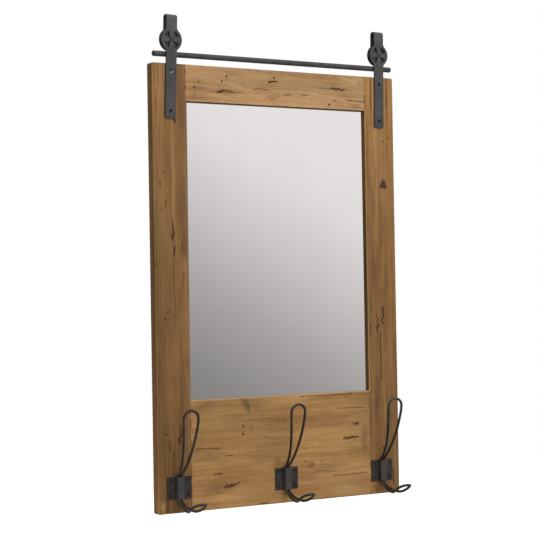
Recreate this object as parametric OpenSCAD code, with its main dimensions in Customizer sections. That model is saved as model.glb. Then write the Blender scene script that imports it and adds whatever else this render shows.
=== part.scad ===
// Wall mirror in a wooden frame, with barn-door style hangers and three wire coat hooks.
// Millimetres. +Z is up and the front faces -Y. The wall is the plane y = 0.
// The origin is on the wall at mid width, level with the two keyhole hang points.
// "Left" is the -X side, as seen by someone who looks into the mirror.

/* [Frame] */
// Width of the frame
frame_w = 610; // [520:5:800]
// Height of the frame
frame_h = 915; // [780:5:1200]
// Thickness of the boards
board_t = 19; // [18:1:25]
// Width of each stile
stile_w = 79; // [76:1:110]
// Height of the top rail
top_rail_h = 75; // [70:1:120]
// Height of the bottom rail
bottom_rail_h = 227; // [190:1:300]
// Radius of the eased long edges at the front
edge_r = 3; // [1:0.5:5]
// Radius of the frame's four corners in front view
corner_r = 6; // [2:0.5:8]

/* [Joinery] */
// Diameter of the dowels
dowel_d = 8; // [6:1:9]
// Length of the dowels
dowel_l = 40; // [30:1:50]
// Number of dowels in each end of the top rail
top_dowels = 2; // [1:1:2]
// Number of dowels in each end of the bottom rail
bottom_dowels = 3; // [2:1:4]

/* [Mirror] */
// Wood that is left in front of the glass
lip_t = 6.5; // [5:0.5:8]
// Thickness of the glass
glass_t = 4; // [3:0.5:5]
// How far the rebate for the glass reaches behind the boards
glass_lap = 10; // [8:1:12]
// Thickness of the back panel
panel_t = 3; // [2.5:0.5:4]
// How far the rebate for the back panel reaches behind the boards
panel_lap = 20; // [19:1:22]
// Play of the glass and the panel in their rebates, on each side
rebate_play = 1; // [0.5:0.5:2]
// Back panel screws along each long side
panel_screws_side = 4; // [2:1:6]
// Back panel screws along each short side
panel_screws_end = 3; // [2:1:5]

/* [Hangers] */
// Width of the strap
strap_w = 25.5; // [20:0.5:30]
// Thickness of the strap
strap_t = 3; // [2.5:0.5:3.5]
// Radius of the strap's long edges
strap_edge_r = 1.2; // [0.5:0.1:1.2]
// Clear gap between the strap's two legs
fork_gap = 9; // [8:0.5:10]
// Distance of the wheel axles from the frame's outer edges
hanger_inset = 43; // [30:1:55]
// How far the wheels stand to the right of centre
hanger_shift = 4; // [-4:0.5:5]
// Height of the axles above the frame
axle_rise = 48.5; // [44:0.5:60]
// Height of the strap's top above the axle
strap_top = 52; // [46:1:70]
// Length of the strap below the axle
strap_foot = 161; // [120:1:200]
// Radius of the lower corners of the strap
strap_corner_r = 5.5; // [1:0.5:8]
// Lean of the left strap to the right, in degrees
left_lean = 2; // [-2:0.5:2]
// Lean of the right strap to the right, in degrees
right_lean = 0.75; // [-2:0.25:2]
// Radius of the round plate in the strap's front leg
disc_r = 24.5; // [22:0.5:28]
// Radius where the strap's sides run into the round plate
disc_fillet_r = 5; // [2:0.5:8]
// Outer radius of the four windows
window_r = 18.5; // [15:0.5:19]
// Half the width of the spokes between the windows, at the hub
spoke_half = 3; // [2.75:0.25:5]
// Half the width of the spokes at the windows' outer radius
spoke_rim_half = 7; // [5:0.25:8]
// Distance of the upper strap screw below the axle
upper_screw_drop = 64.6; // [60:0.5:75]
// Distance of the lower strap screw below the axle
lower_screw_drop = 146; // [90:0.5:150]

/* [Wheels and rod] */
// Radius of the wheel
wheel_r = 23.9; // [22:0.1:24.8]
// Width of the wheel
wheel_w = 8; // [6:0.25:8.25]
// Depth of the groove round the wheel
groove_depth = 0.6; // [0.4:0.1:1]
// Radius of the groove's hollow
groove_r = 12; // [8:0.5:14]
// Radius of the axle
axle_r = 2.25; // [2:0.25:3]
// Running clearance between the wheel and its axle
axle_clearance = 0.05; // [0.02:0.01:0.1]
// Diameter of the rod
rod_d = 11.5; // [9:0.5:12]
// How much shorter the rod is than the frame, at each end
rod_inset = 5; // [-20:0.5:12]
// How far the rod stands to the right of centre
rod_shift = 2; // [-4:0.5:5]
// Gap between the floor of the wheels' grooves and the rod
rod_gap = 0.5; // [0.5:0.1:1]
// Length of each weld
weld_l = 16; // [8:1:20]

/* [Hooks] */
// Distance of the outer hooks from the frame's outer edges
hook_inset = 49; // [32:1:70]
// How far the middle hook stands to the right of centre
middle_hook_shift = 5; // [-8:1:8]
// Height of the hook plates' centres above the frame's lower edge
hook_rise = 51.5; // [50:0.5:70]
// Width of the hook plates
plate_w = 56.5; // [50:0.5:58]
// Height of the hook plates
plate_h = 46; // [36:1:60]
// Thickness of the hook plates
plate_t = 2; // [1.5:0.25:2]
// Clear width inside the plate's channel
channel_w = 13; // [12.6:0.1:18]
// Play between the wire and the roof of the channel
channel_play = 0.1; // [0.1:0.1:0.5]
// Clear depth of the channel
channel_depth = 7.4; // [6:0.2:9]
// Diameter of the hook wire
wire_d = 5.5; // [4:0.5:6]
// Distance between the two runs of wire in the channel
wire_pitch = 6.6; // [6.2:0.2:7]
// Height of the upper loop above the plate's centre
loop_rise = 159; // [110:1:190]
// Distance of the upper loop from the frame
loop_reach = 53; // [35:1:70]
// Width of the upper loop, between wire centres
loop_w = 34.6; // [28:0.2:44]
// Depth of the lower loop's lowest point below the plate's centre
cradle_drop = 43.8; // [38:0.2:47]
// Reach of the lower loop from the frame
cradle_reach = 91.5; // [80:0.5:130]
// Widest part of the lower loop, between wire centres
cradle_w = 25.4; // [22:0.2:34]
// Lean of the middle hook's wire to the left, in degrees
middle_wire_lean = 0.8; // [0:0.1:0.8]

/* [Screws] */
// Length of the strap screws
strap_screw_l = 16; // [10:1:16]
// Radius of the strap screws
strap_screw_r = 2; // [1.5:0.25:2.5]
// Radius of the strap screws' heads
strap_head_r = 3.9; // [3:0.1:4.5]
// Length of the hook screws
hook_screw_l = 15; // [10:1:16]
// Radius of the hook screws
hook_screw_r = 1.5; // [1.25:0.25:2]
// Radius of the hook screws' heads
hook_head_r = 3.2; // [2.5:0.1:3.4]
// Length of the back panel screws
panel_screw_l = 10; // [8:1:10]
// Radius of the back panel screws
panel_screw_r = 1.5; // [1.25:0.25:1.75]
// Radius of the back panel screws' heads
panel_head_r = 3.2; // [2.8:0.1:3.5]

/* [Wall hangers] */
// Width of the keyhole plates
key_plate_w = 18; // [16:1:20]
// Height of the keyhole plates
key_plate_h = 50; // [46:1:56]
// Thickness of the keyhole plates
key_plate_t = 1.5; // [1:0.25:2]
// Radius of the round entry for the wall screw's head
key_entry_r = 4.75; // [4.25:0.25:5]
// Radius of the slot for the wall screw's neck
key_slot_r = 2.4; // [2:0.1:2.5]
// Height of the slot's end above the centre of the entry
key_slot_rise = 11; // [9:0.5:12]
// Depth of the pocket behind the keyhole
key_pocket_depth = 9; // [6:0.5:10]
// Length of the keyhole plates' screws
key_screw_l = 12; // [8:1:14]

/* [Hidden] */
$fn = 64;

// Clearance of a pin, dowel or screw in its hole
fit = 0.05;
// How deep the heads of the screws sit in the straps and in the hook plates
strap_head_sink = 0.8;
hook_head_sink = 0.7;
// How far a cut runs past the face that it opens
past = 1;
// Wood between the end of a dowel and the bottom of its hole
dowel_end_gap = 1;
// Height of a countersunk head as a share of its radius
head_slope = 0.62;
// Width and depth of a screw's cross slot, as shares of the head's radius
slot_share = 0.26;
slot_reach_share = 0.62;

// Heights and depths in the frame
z_top = top_rail_h / 2;
z_bottom = z_top - frame_h;
front_y = -board_t;
opening_w = frame_w - 2 * stile_w;
opening_top = z_top - top_rail_h;
opening_bottom = z_bottom + bottom_rail_h;
opening_h = opening_top - opening_bottom;
opening_mid = (opening_top + opening_bottom) / 2;
glass_front = front_y + lip_t;
panel_front = glass_front + glass_t;
panel_back = panel_front + panel_t;
ledge_mid = (glass_lap + panel_lap) / 2;

// Hangers
axle_z = z_top + axle_rise;
strap_x = frame_w / 2 - hanger_inset;
left_axle_x = hanger_shift - strap_x;
right_axle_x = hanger_shift + strap_x;
bend_r = fork_gap / 2 + strap_t;
bend_z = strap_top - bend_r;
wheel_mid = fork_gap / 2;
groove_floor = wheel_r - groove_depth;
hub_r = 7;
hub_gap = 0.2;
rivet_head_r = 3.7;
rivet_head_h = 1.1;
rivet_dimple_r = 1.5;
rivet_dimple_depth = 0.7;
// The rod touches the back of the straps and runs just under the wheels
rod_mid = rod_d / 2;
rod_drop = groove_floor + rod_gap + rod_mid;
rod_l = frame_w - 2 * rod_inset;
rod_chamfer = 1.2;
weld_h = 0.82 * rod_mid;
weld_t = 0.42 * rod_mid;

// Hooks
hook_z = z_bottom + hook_rise;
hook_xs = [hook_inset - frame_w / 2, middle_hook_shift, frame_w / 2 - hook_inset];
channel_front = channel_depth + plate_t;
channel_outer_w = channel_w + 2 * plate_t;
channel_r = 3;
plate_corner_r = 1.5;
plate_screw_in = 8;
wire_r = wire_d / 2;
wire_y = -(channel_depth - channel_play - wire_r);

// Keyholes
hang_xs = [(stile_w - frame_w) / 2, (frame_w - stile_w) / 2];
key_entry_z = -key_slot_rise;
key_plate_mid = key_entry_z / 2 - 0.5;
key_screw_in = 5;
key_pocket_side = 2;

// Turns a shape that is drawn in x and y, with its height along z, so that it lies in
// x and z and its height runs to the front
module to_front() rotate([90, 0, 0]) children();

// The same, but the height runs to the back
module to_back() rotate([-90, 0, 0]) children();

// What rounding takes off a corner at the origin; the solid lies towards +x, +y
module corner_cut(r) {
    difference() {
        translate([-past, -past]) square(r + past);
        translate([r, r]) circle(r);
    }
}

// Rectangle from the origin, with its four corners rounded
module round_rect(w, h, r) {
    difference() {
        square([w, h]);
        corner_cut(r);
        translate([w, 0]) mirror([1, 0]) corner_cut(r);
        translate([w, h]) rotate(180) corner_cut(r);
        translate([0, h]) mirror([0, 1]) corner_cut(r);
    }
}

// ---- Screws: the face that they hold is at the origin and the screw points down ----

// The head's top lies sink below the face, where the countersink has the radius top_r
module countersunk_screw(length, shank_r, head_r, sink = 0) {
    head_h = head_slope * head_r;
    top_r = head_r - sink * (head_r - shank_r) / head_h;
    difference() {
        union() {
            translate([0, 0, -head_h]) cylinder(head_h - sink, shank_r, top_r);
            translate([0, 0, -length]) cylinder(length - head_h, shank_r, shank_r);
        }
        translate([0, 0, -sink]) cross_slot(top_r);
    }
}

module pan_screw(length, shank_r, head_r) {
    head_h = head_slope * head_r;
    difference() {
        union() {
            cylinder(head_h, head_r, 0.8 * head_r);
            translate([0, 0, -length]) cylinder(length, shank_r, shank_r);
        }
        translate([0, 0, head_h]) cross_slot(head_r);
    }
}

module cross_slot(head_r) {
    reach = 2 * slot_reach_share * head_r;
    width = slot_share * head_r;
    depth = 0.5 * head_slope * head_r;
    for (turn = [0, 90]) {
        rotate(turn) translate([-reach / 2, -width / 2, -depth]) cube([reach, width, depth + past]);
    }
}

// Hole that takes a countersunk screw
module countersunk_hole(length, shank_r, head_r) {
    head_h = head_slope * head_r;
    translate([0, 0, -head_h - fit]) cylinder(head_h + fit, shank_r + fit, head_r + fit);
    cylinder(past, head_r + fit, head_r + fit);
    translate([0, 0, -length - past]) cylinder(length + past, shank_r + fit, shank_r + fit);
}

// Pilot hole in the wood for a screw of this length
module pilot(length, shank_r) {
    translate([0, 0, -length - past]) cylinder(length + 2 * past, shank_r + fit, shank_r + fit);
}

// ---- Wooden frame ----

// Cuts for the glass and for the back panel, open to the wall
module rebates() {
    rebate(glass_lap, glass_front);
    rebate(panel_lap, panel_front);
}

module rebate(lap, floor_y) {
    translate([-opening_w / 2 - lap, floor_y, opening_bottom - lap])
        cube([opening_w + 2 * lap, past - floor_y, opening_h + 2 * lap]);
}

// Left stile as a plain board: eased along its outer edges and round at its outer corners
module stile_board() {
    x0 = -frame_w / 2;
    intersection() {
        translate([x0, 0, z_bottom]) linear_extrude(frame_h) mirror([0, 1]) difference() {
            square([stile_w, board_t]);
            translate([0, board_t]) mirror([0, 1]) corner_cut(edge_r);
            corner_cut(edge_r / 2);
        }
        to_front() linear_extrude(board_t) translate([x0, z_bottom]) difference() {
            square([stile_w, frame_h]);
            corner_cut(corner_r);
            translate([0, frame_h]) mirror([0, 1]) corner_cut(corner_r);
        }
        end_eased(z_bottom, frame_h, true, true);
    }
}

// A bar across the frame from z0, h high, whose outer front edges are eased
module end_eased(z0, h, bottom_eased, top_eased) {
    rotate([90, 0, 90]) linear_extrude(2 * frame_w, center = true) translate([front_y, z0]) difference() {
        square([board_t, h]);
        if (bottom_eased) corner_cut(edge_r);
        if (top_eased) translate([0, h]) mirror([0, 1]) corner_cut(edge_r);
    }
}

module rail_board(z0, h, bottom_eased, top_eased) {
    intersection() {
        translate([-opening_w / 2, front_y, z0]) cube([opening_w, board_t, h]);
        end_eased(z0, h, bottom_eased, top_eased);
    }
}

// Heights of the dowels, clear of the rebates. The lowest is under the hook plates' screws
// and the others of the bottom rail are above them.
top_dowel_zs = [for (i = [0:top_dowels - 1])
    opening_top + panel_lap + (top_rail_h - panel_lap) * (i + 0.75) / (top_dowels + 0.5)];
above_plates = hook_z + plate_h / 2 + dowel_d;
below_rebate = opening_bottom - panel_lap - dowel_d;
bottom_dowel_zs = concat(
    [z_bottom + (hook_rise - plate_h / 2) / 2],
    [for (i = [1:bottom_dowels - 1])
        above_plates + (below_rebate - above_plates) * (i - 0.5) / (bottom_dowels - 1)]
);

module dowel_places() {
    for (side = [-1, 1]) for (z = concat(top_dowel_zs, bottom_dowel_zs)) {
        translate([side * opening_w / 2, front_y + board_t / 2, z]) rotate([0, 90, 0]) children();
    }
}

module dowel_holes() {
    hole_l = dowel_l + 2 * dowel_end_gap;
    dowel_places() cylinder(hole_l, dowel_d / 2 + fit, dowel_d / 2 + fit, center = true);
}

module frame_dowels() {
    color("burlywood") dowel_places() cylinder(dowel_l, dowel_d / 2, dowel_d / 2, center = true);
}

// Cuts that any board of the frame may meet
module board_cuts() {
    rebates();
    dowel_holes();
    panel_screw_places() pilot(panel_screw_l, panel_screw_r);
    for (x = hook_xs) at_hook(x) plate_screw_places()
        countersunk_hole(hook_screw_l, hook_screw_r, hook_head_r);
}

module left_stile() {
    color("peru") difference() {
        stile_board();
        board_cuts();
        keyhole_cuts();
        at_axle(left_axle_x, left_lean) strap_screw_places()
            countersunk_hole(strap_screw_l, strap_screw_r, strap_head_r);
    }
}

module right_stile() {
    color("peru") difference() {
        mirror([1, 0, 0]) stile_board();
        board_cuts();
        keyhole_cuts();
        at_axle(right_axle_x, right_lean) strap_screw_places()
            countersunk_hole(strap_screw_l, strap_screw_r, strap_head_r);
    }
}

module top_rail() {
    color("tan") difference() {
        rail_board(opening_top, top_rail_h, false, true);
        board_cuts();
    }
}

module bottom_rail() {
    color("tan") difference() {
        rail_board(z_bottom, bottom_rail_h, true, false);
        board_cuts();
    }
}

// ---- Glass and back panel ----

module mirror_glass() {
    lap = glass_lap - rebate_play;
    color("lightsteelblue") translate([-opening_w / 2 - lap, glass_front, opening_bottom - lap])
        cube([opening_w + 2 * lap, glass_t, opening_h + 2 * lap]);
}

// Puts its child on the back panel's back face, at each screw
module panel_screw_places() {
    half_w = opening_w / 2 + ledge_mid;
    half_h = opening_h / 2 + ledge_mid;
    for (side = [-1, 1]) {
        for (i = [1:panel_screws_side]) {
            z = opening_mid + half_h * (2 * i / (panel_screws_side + 1) - 1);
            translate([side * half_w, panel_back, z]) to_back() children();
        }
        for (i = [1:panel_screws_end]) {
            x = half_w * (2 * i / (panel_screws_end + 1) - 1);
            translate([x, panel_back, opening_mid + side * half_h]) to_back() children();
        }
    }
}

module back_panel() {
    lap = panel_lap - rebate_play;
    color("saddlebrown") difference() {
        translate([-opening_w / 2 - lap, panel_front, opening_bottom - lap])
            cube([opening_w + 2 * lap, panel_t, opening_h + 2 * lap]);
        panel_screw_places() pilot(panel_screw_l, panel_screw_r);
    }
}

module back_panel_screws() {
    color("silver") panel_screw_places() pan_screw(panel_screw_l, panel_screw_r, panel_head_r);
}

// ---- Hangers ----

// Puts its child on a hanger's axle: x and z as in the strap, y = 0 on the boards' front
module at_axle(axle_x, lean) {
    translate([axle_x, front_y, axle_z]) rotate([0, lean, 0]) children();
}

// Section across the strap, from y = 0 to y = strap_t
module strap_section() translate([-strap_w / 2, 0]) round_rect(strap_w, strap_t, strap_edge_r);

// Flat piece of strap between two heights, whose back is at the depth y
module strap_leg(low, high, y) {
    translate([0, y - strap_t, low]) linear_extrude(high - low) strap_section();
}

// Half turn of the strap over the wheel
module strap_bend() {
    translate([0, fork_gap / 2, bend_z]) rotate([0, 90, 0]) rotate_extrude(angle = 180, start = 90)
        translate([fork_gap / 2, 0]) rotate(90) translate([0, -strap_t]) strap_section();
}

// Round plate of radius r in the strap's plane, with eased edges, whose back is at the depth y
module round_plate(r, y) {
    translate([0, y, 0]) to_front() rotate_extrude() intersection() {
        translate([-r, 0]) round_rect(2 * r, strap_t, strap_edge_r);
        square([r, strap_t]);
    }
}

// Webs that lead the strap's sides into the round plate
module disc_webs() {
    reach = strap_w / 2 + disc_fillet_r;
    height = sqrt(pow(disc_r + disc_fillet_r, 2) - reach * reach);
    to_front() linear_extrude(strap_t) for (sx = [-1, 1]) for (sz = [-1, 1]) scale([sx, sz]) difference() {
        polygon([[0, 0], [0, height], [reach, height]]);
        translate([reach, height]) circle(disc_fillet_r);
    }
}

// Four windows between the spokes, which widen towards the rim
module disc_windows() {
    inner = [spoke_half, spoke_half];
    rim = sqrt(window_r * window_r - spoke_rim_half * spoke_rim_half);
    to_front() translate([0, 0, -past]) linear_extrude(strap_t + 2 * past) for (turn = [0:90:270])
        rotate(turn) intersection() {
            circle(window_r);
            polygon([inner, 2 * [rim, spoke_rim_half] - inner, 2 * [spoke_rim_half, rim] - inner]);
        }
}

module strap_screw_places() {
    for (drop = [upper_screw_drop, lower_screw_drop]) translate([0, -strap_t, -drop]) to_front() children();
}

module hanger() {
    difference() {
        union() {
            strap_leg(-strap_foot, bend_z, 0);
            strap_leg(0, bend_z, fork_gap + strap_t);
            strap_bend();
            round_plate(disc_r, 0);
            round_plate(strap_w / 2, fork_gap + strap_t);
            disc_webs();
        }
        disc_windows();
        strap_screw_places() countersunk_hole(strap_screw_l, strap_screw_r, strap_head_r);
        translate([0, -strap_t - past, 0]) to_back()
            cylinder(fork_gap + 2 * strap_t + 2 * past, axle_r + fit, axle_r + fit);
        to_front() translate([0, 0, -past]) linear_extrude(strap_t + 2 * past) for (sx = [-1, 1])
            scale([sx, 1]) translate([-strap_w / 2, -strap_foot]) corner_cut(strap_corner_r);
    }
}

module left_hanger() color("dimgray") at_axle(left_axle_x, left_lean) hanger();

module right_hanger() color("dimgray") at_axle(right_axle_x, right_lean) hanger();

module hanger_screws() strap_screw_places()
    countersunk_screw(strap_screw_l, strap_screw_r, strap_head_r, strap_head_sink);

module left_hanger_screws() color("gray") at_axle(left_axle_x, left_lean) hanger_screws();

module right_hanger_screws() color("gray") at_axle(right_axle_x, right_lean) hanger_screws();

// Grooved wheel that turns on the rivet between the strap's legs
module wheel() {
    hub_half = fork_gap / 2 - hub_gap;
    translate([0, wheel_mid, 0]) to_front() rotate_extrude() difference() {
        union() {
            translate([0, -wheel_w / 2]) intersection() {
                translate([-wheel_r, 0]) round_rect(2 * wheel_r, wheel_w, 0.6);
                square([wheel_r, wheel_w]);
            }
            translate([0, -hub_half]) square([hub_r, 2 * hub_half]);
        }
        translate([-past, -fork_gap]) square([axle_r + axle_clearance + past, 2 * fork_gap]);
        translate([groove_floor + groove_r, 0]) circle(groove_r);
    }
}

module left_wheel() color("darkslategray") at_axle(left_axle_x, 0) wheel();

module right_wheel() color("darkslategray") at_axle(right_axle_x, 0) wheel();

// Rivet through both legs of the strap, with a dimple in its front head
module axle() {
    pin_l = fork_gap + 2 * strap_t;
    translate([0, -strap_t, 0]) difference() {
        union() {
            to_back() cylinder(pin_l, axle_r, axle_r);
            to_front() cylinder(rivet_head_h, rivet_head_r, 0.8 * rivet_head_r);
            translate([0, pin_l, 0]) to_back() cylinder(rivet_head_h, rivet_head_r, 0.8 * rivet_head_r);
        }
        translate([0, -rivet_head_h, 0]) to_back() translate([0, 0, -past])
            cylinder(past + rivet_dimple_depth, rivet_dimple_r, rivet_dimple_r);
    }
}

module left_axle() color("gray") at_axle(left_axle_x, left_lean) axle();

module right_axle() color("gray") at_axle(right_axle_x, right_lean) axle();

// Puts its child on the rod's centre line, level with the rod's middle
module at_rod() translate([rod_shift, front_y + rod_mid, axle_z - rod_drop]) children();

module rail_rod() {
    half = rod_l / 2 - rod_chamfer;
    end_r = rod_mid - rod_chamfer;
    color("dimgray") at_rod() rotate([0, 90, 0]) {
        cylinder(2 * half, rod_mid, rod_mid, center = true);
        translate([0, 0, half]) cylinder(rod_chamfer, rod_mid, end_r);
        translate([0, 0, -half - rod_chamfer]) cylinder(rod_chamfer, end_r, rod_mid);
    }
}

// Beads that join the rod to the backs of the straps, above and below it
module rod_welds() {
    color("dimgray") at_rod() for (side = [-1, 1]) for (sz = [-1, 1])
        translate([hanger_shift - rod_shift + side * strap_x, -rod_mid, 0]) rotate([90, 0, 90])
            linear_extrude(weld_l, center = true)
            scale([1, sz]) weld_section();
}

module weld_section() {
    difference() {
        polygon([[0, 0], [weld_t, 0], [weld_t, 0.6 * weld_h], [0.3 * weld_t, weld_h], [0, weld_h]]);
        translate([rod_mid, 0]) circle(rod_mid);
    }
}

// ---- Hooks ----

// Puts its child on a hook plate's centre: y = 0 on the boards' front
module at_hook(x) translate([x, front_y, hook_z]) children();

module plate_screw_places() {
    for (sx = [-1, 1]) for (sz = [-1, 1]) {
        translate([sx * (plate_w / 2 - plate_screw_in), -plate_t, sz * (plate_h / 2 - plate_screw_in)])
            to_front() children();
    }
}

// Folded sheet with a raised channel for the wire, drawn as a section across the plate
module plate_section() {
    mirror([0, 1]) difference() {
        union() {
            translate([-plate_w / 2, 0]) square([plate_w, plate_t]);
            translate([-channel_outer_w / 2, -channel_r])
                round_rect(channel_outer_w, channel_front + channel_r, channel_r);
        }
        translate([-channel_w / 2, -channel_r])
            round_rect(channel_w, channel_depth + channel_r, channel_r - plate_t);
        translate([-plate_w / 2, -2 * channel_r]) square([plate_w, 2 * channel_r]);
    }
}

module hook_plate() {
    difference() {
        translate([0, 0, -plate_h / 2]) linear_extrude(plate_h) plate_section();
        plate_screw_places() countersunk_hole(hook_screw_l, hook_screw_r, hook_head_r);
        to_front() translate([0, 0, -past]) linear_extrude(plate_t + 2 * past)
            for (sx = [-1, 1]) for (sz = [-1, 1]) scale([sx, sz])
                translate([-plate_w / 2, -plate_h / 2]) corner_cut(plate_corner_r);
    }
}

module left_hook_plate() color("darkslategray") at_hook(hook_xs[0]) hook_plate();

module middle_hook_plate() color("darkslategray") at_hook(hook_xs[1]) hook_plate();

module right_hook_plate() color("darkslategray") at_hook(hook_xs[2]) hook_plate();

module hook_screws() plate_screw_places()
    countersunk_screw(hook_screw_l, hook_screw_r, hook_head_r, hook_head_sink);

module left_hook_screws() color("gray") at_hook(hook_xs[0]) hook_screws();

module middle_hook_screws() color("gray") at_hook(hook_xs[1]) hook_screws();

module right_hook_screws() color("gray") at_hook(hook_xs[2]) hook_screws();

// Points of a hook wire are [x, y, z] from the plate's centre on the boards' front.
// Half of each loop is drawn, on the right, and then mirrored.
function bezier(p, t) = pow(1 - t, 3) * p[0] + 3 * pow(1 - t, 2) * t * p[1]
    + 3 * (1 - t) * t * t * p[2] + pow(t, 3) * p[3];
function curve(p, steps) = [for (i = [1:steps]) bezier(p, i / steps)];
function unit(v) = v / norm(v);
function reversed(p) = [for (i = [len(p) - 1:-1:0]) p[i]];
function mirrored(p) = [for (q = p) [-q[0], q[1], q[2]]];

// Quarter of a loop's round end: from its side at start, out along the direction out
function quarter_turn(start, out, length, steps) = [for (i = [1:steps])
    let (a = 90 * i / steps) [start[0] * cos(a), start[1], start[2]] + sin(a) * length * out];

wire_x = wire_pitch / 2;
mouth_z = plate_h / 2;
stem_lean = 46;
crown_lean = 6;
stem_out = [0.09, -sin(stem_lean), cos(stem_lean)];
crown_out = [0, -sin(crown_lean), cos(crown_lean)];
crown_l = loop_w / 2;
crown_start = [loop_w / 2, -loop_reach, loop_rise - crown_l * cos(crown_lean)];
mouth = [wire_x, wire_y, mouth_z];
bend_mid = mouth + [0, 0, 2.5];
bend_end = bend_mid + 4 * stem_out;
stem_pull = 0.32 * loop_rise - 4;
crown_pull = 0.1 * loop_rise;
upper_half = concat(
    [mouth, (mouth + 2 * bend_mid + bend_end) / 4, bend_end],
    curve([
        bend_end, bend_end + stem_pull * stem_out,
        crown_start - crown_pull * crown_out, crown_start
    ], 12),
    quarter_turn(crown_start, crown_out, crown_l, 7)
);

tip_slope = 25;
tip_out = [0, -cos(tip_slope), sin(tip_slope)];
tip_l = 0.33 * cradle_w;
tip_in = 0.43;
low_y = -0.53 * cradle_reach;
low_point = [0.34 * cradle_w, low_y, -cradle_drop];
tip_start = [cradle_w / 2, tip_l * cos(tip_slope) - cradle_reach, 14.6 - cradle_drop];
low_out = unit([0.22, -1, 0]);
outlet = [wire_x, wire_y, -mouth_z];
lower_half = concat(
    [outlet],
    curve([outlet, outlet - [0, 0, 7], low_point - 23.5 * low_out, low_point], 9),
    curve([
        low_point, low_point + 14.2 * low_out,
        tip_start - 12.7 * (tip_out - [tip_in, 0, 0]), tip_start
    ], 8),
    quarter_turn(tip_start, tip_out, tip_l, 6)
);

// The wire's two ends meet inside the channel, a small gap apart
wire_end_gap = 1;
wire_path = concat(
    [[-wire_x, wire_y, wire_end_gap / 2]],
    mirrored(upper_half),
    [for (i = [len(upper_half) - 2:-1:0]) upper_half[i]],
    lower_half,
    [for (i = [len(lower_half) - 2:-1:0]) mirrored([lower_half[i]])[0]],
    [[-wire_x, wire_y, -wire_end_gap / 2]]
);
wire_sides = 12;

function tangents(p) = [for (i = [0:len(p) - 1])
    unit(p[min(i + 1, len(p) - 1)] - p[max(i - 1, 0)])];
function square_to(n, t) = unit(n - (n * t) * t);

// Tube of radius r along the points p, as triangles
module tube(p, r, sides) {
    t = tangents(p);
    n = [for (i = 0, v = square_to([1, 0, 0], t[0]); i < len(p);
        i = i + 1, v = i < len(p) ? square_to(v, t[i]) : v) v];
    rings = [for (i = [0:len(p) - 1]) for (j = [0:sides - 1])
        p[i] + r * (cos(360 * j / sides) * n[i] + sin(360 * j / sides) * cross(t[i], n[i]))];
    last = (len(p) - 1) * sides;
    walls = [for (i = [0:len(p) - 2]) for (j = [0:sides - 1])
        let (a = i * sides + j, b = i * sides + (j + 1) % sides)
        each [[a, b, b + sides], [a, b + sides, a + sides]]];
    caps = [for (j = [1:sides - 2]) each [[0, j + 1, j], [last, last + j, last + j + 1]]];
    polyhedron(rings, [for (f = concat(walls, caps)) [f[0], f[2], f[1]]]);
}

module hook_wire() tube(wire_path, wire_r, wire_sides);

module left_hook_wire() color("dimgray") at_hook(hook_xs[0]) hook_wire();

module middle_hook_wire() color("dimgray")
    at_hook(hook_xs[1]) rotate([0, -middle_wire_lean, 0]) hook_wire();

module right_hook_wire() color("dimgray") at_hook(hook_xs[2]) hook_wire();

// ---- Keyhole plates in the back of the stiles ----

// Keyhole in x and z: a round entry and the slot above it, each grown by grow
module keyhole_shape(grow) {
    translate([0, key_entry_z]) circle(key_entry_r + grow);
    circle(key_slot_r + grow);
    translate([-key_slot_r - grow, key_entry_z]) square([2 * (key_slot_r + grow), key_slot_rise]);
}

module key_plate_outline(grow) {
    translate([-key_plate_w / 2 - grow, key_plate_mid - key_plate_h / 2 - grow])
        round_rect(key_plate_w + 2 * grow, key_plate_h + 2 * grow, 3);
}

module key_screw_places() {
    reach = key_plate_h / 2 - key_screw_in;
    for (sz = [-1, 1]) translate([0, 0, key_plate_mid + sz * reach]) to_back() children();
}

// Recess for the plate, pocket for the wall screw's head and pilots for the plate's screws
module keyhole_cuts() {
    for (x = hang_xs) translate([x, 0, 0]) {
        translate([0, past, 0]) to_front() linear_extrude(key_plate_t + past) key_plate_outline(2 * fit);
        translate([0, past, 0]) to_front() linear_extrude(key_pocket_depth + past) intersection() {
            keyhole_pocket();
            key_plate_outline(0);
        }
        key_screw_places() countersunk_hole(key_screw_l, hook_screw_r, hook_head_r);
    }
}

// Room for the wall screw's head behind the keyhole, from the entry to the slot's end
module keyhole_pocket() {
    pocket_r = key_entry_r + key_pocket_side;
    translate([0, key_entry_z]) circle(pocket_r);
    circle(pocket_r);
    translate([-pocket_r, key_entry_z]) square([2 * pocket_r, key_slot_rise]);
}

module keyhole_plate() {
    difference() {
        to_front() linear_extrude(key_plate_t) difference() {
            key_plate_outline(0);
            keyhole_shape(0);
        }
        key_screw_places() countersunk_hole(key_screw_l, hook_screw_r, hook_head_r);
    }
}

module left_keyhole_plate() color("silver") translate([hang_xs[0], 0, 0]) keyhole_plate();

module right_keyhole_plate() color("silver") translate([hang_xs[1], 0, 0]) keyhole_plate();

module keyhole_plate_screws() {
    color("gainsboro") for (x = hang_xs) translate([x, 0, 0])
        key_screw_places() countersunk_screw(key_screw_l, hook_screw_r, hook_head_r);
}

left_stile();
right_stile();
top_rail();
bottom_rail();
frame_dowels();
mirror_glass();
back_panel();
back_panel_screws();
left_hanger();
right_hanger();
left_hanger_screws();
right_hanger_screws();
left_wheel();
right_wheel();
left_axle();
right_axle();
rail_rod();
rod_welds();
left_hook_plate();
middle_hook_plate();
right_hook_plate();
left_hook_wire();
middle_hook_wire();
right_hook_wire();
left_hook_screws();
middle_hook_screws();
right_hook_screws();
left_keyhole_plate();
right_keyhole_plate();
keyhole_plate_screws();
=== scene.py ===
"""Looks of a wall mirror with three wire coat hooks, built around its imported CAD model."""
import math

import bpy
from mathutils import Matrix, Vector


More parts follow.
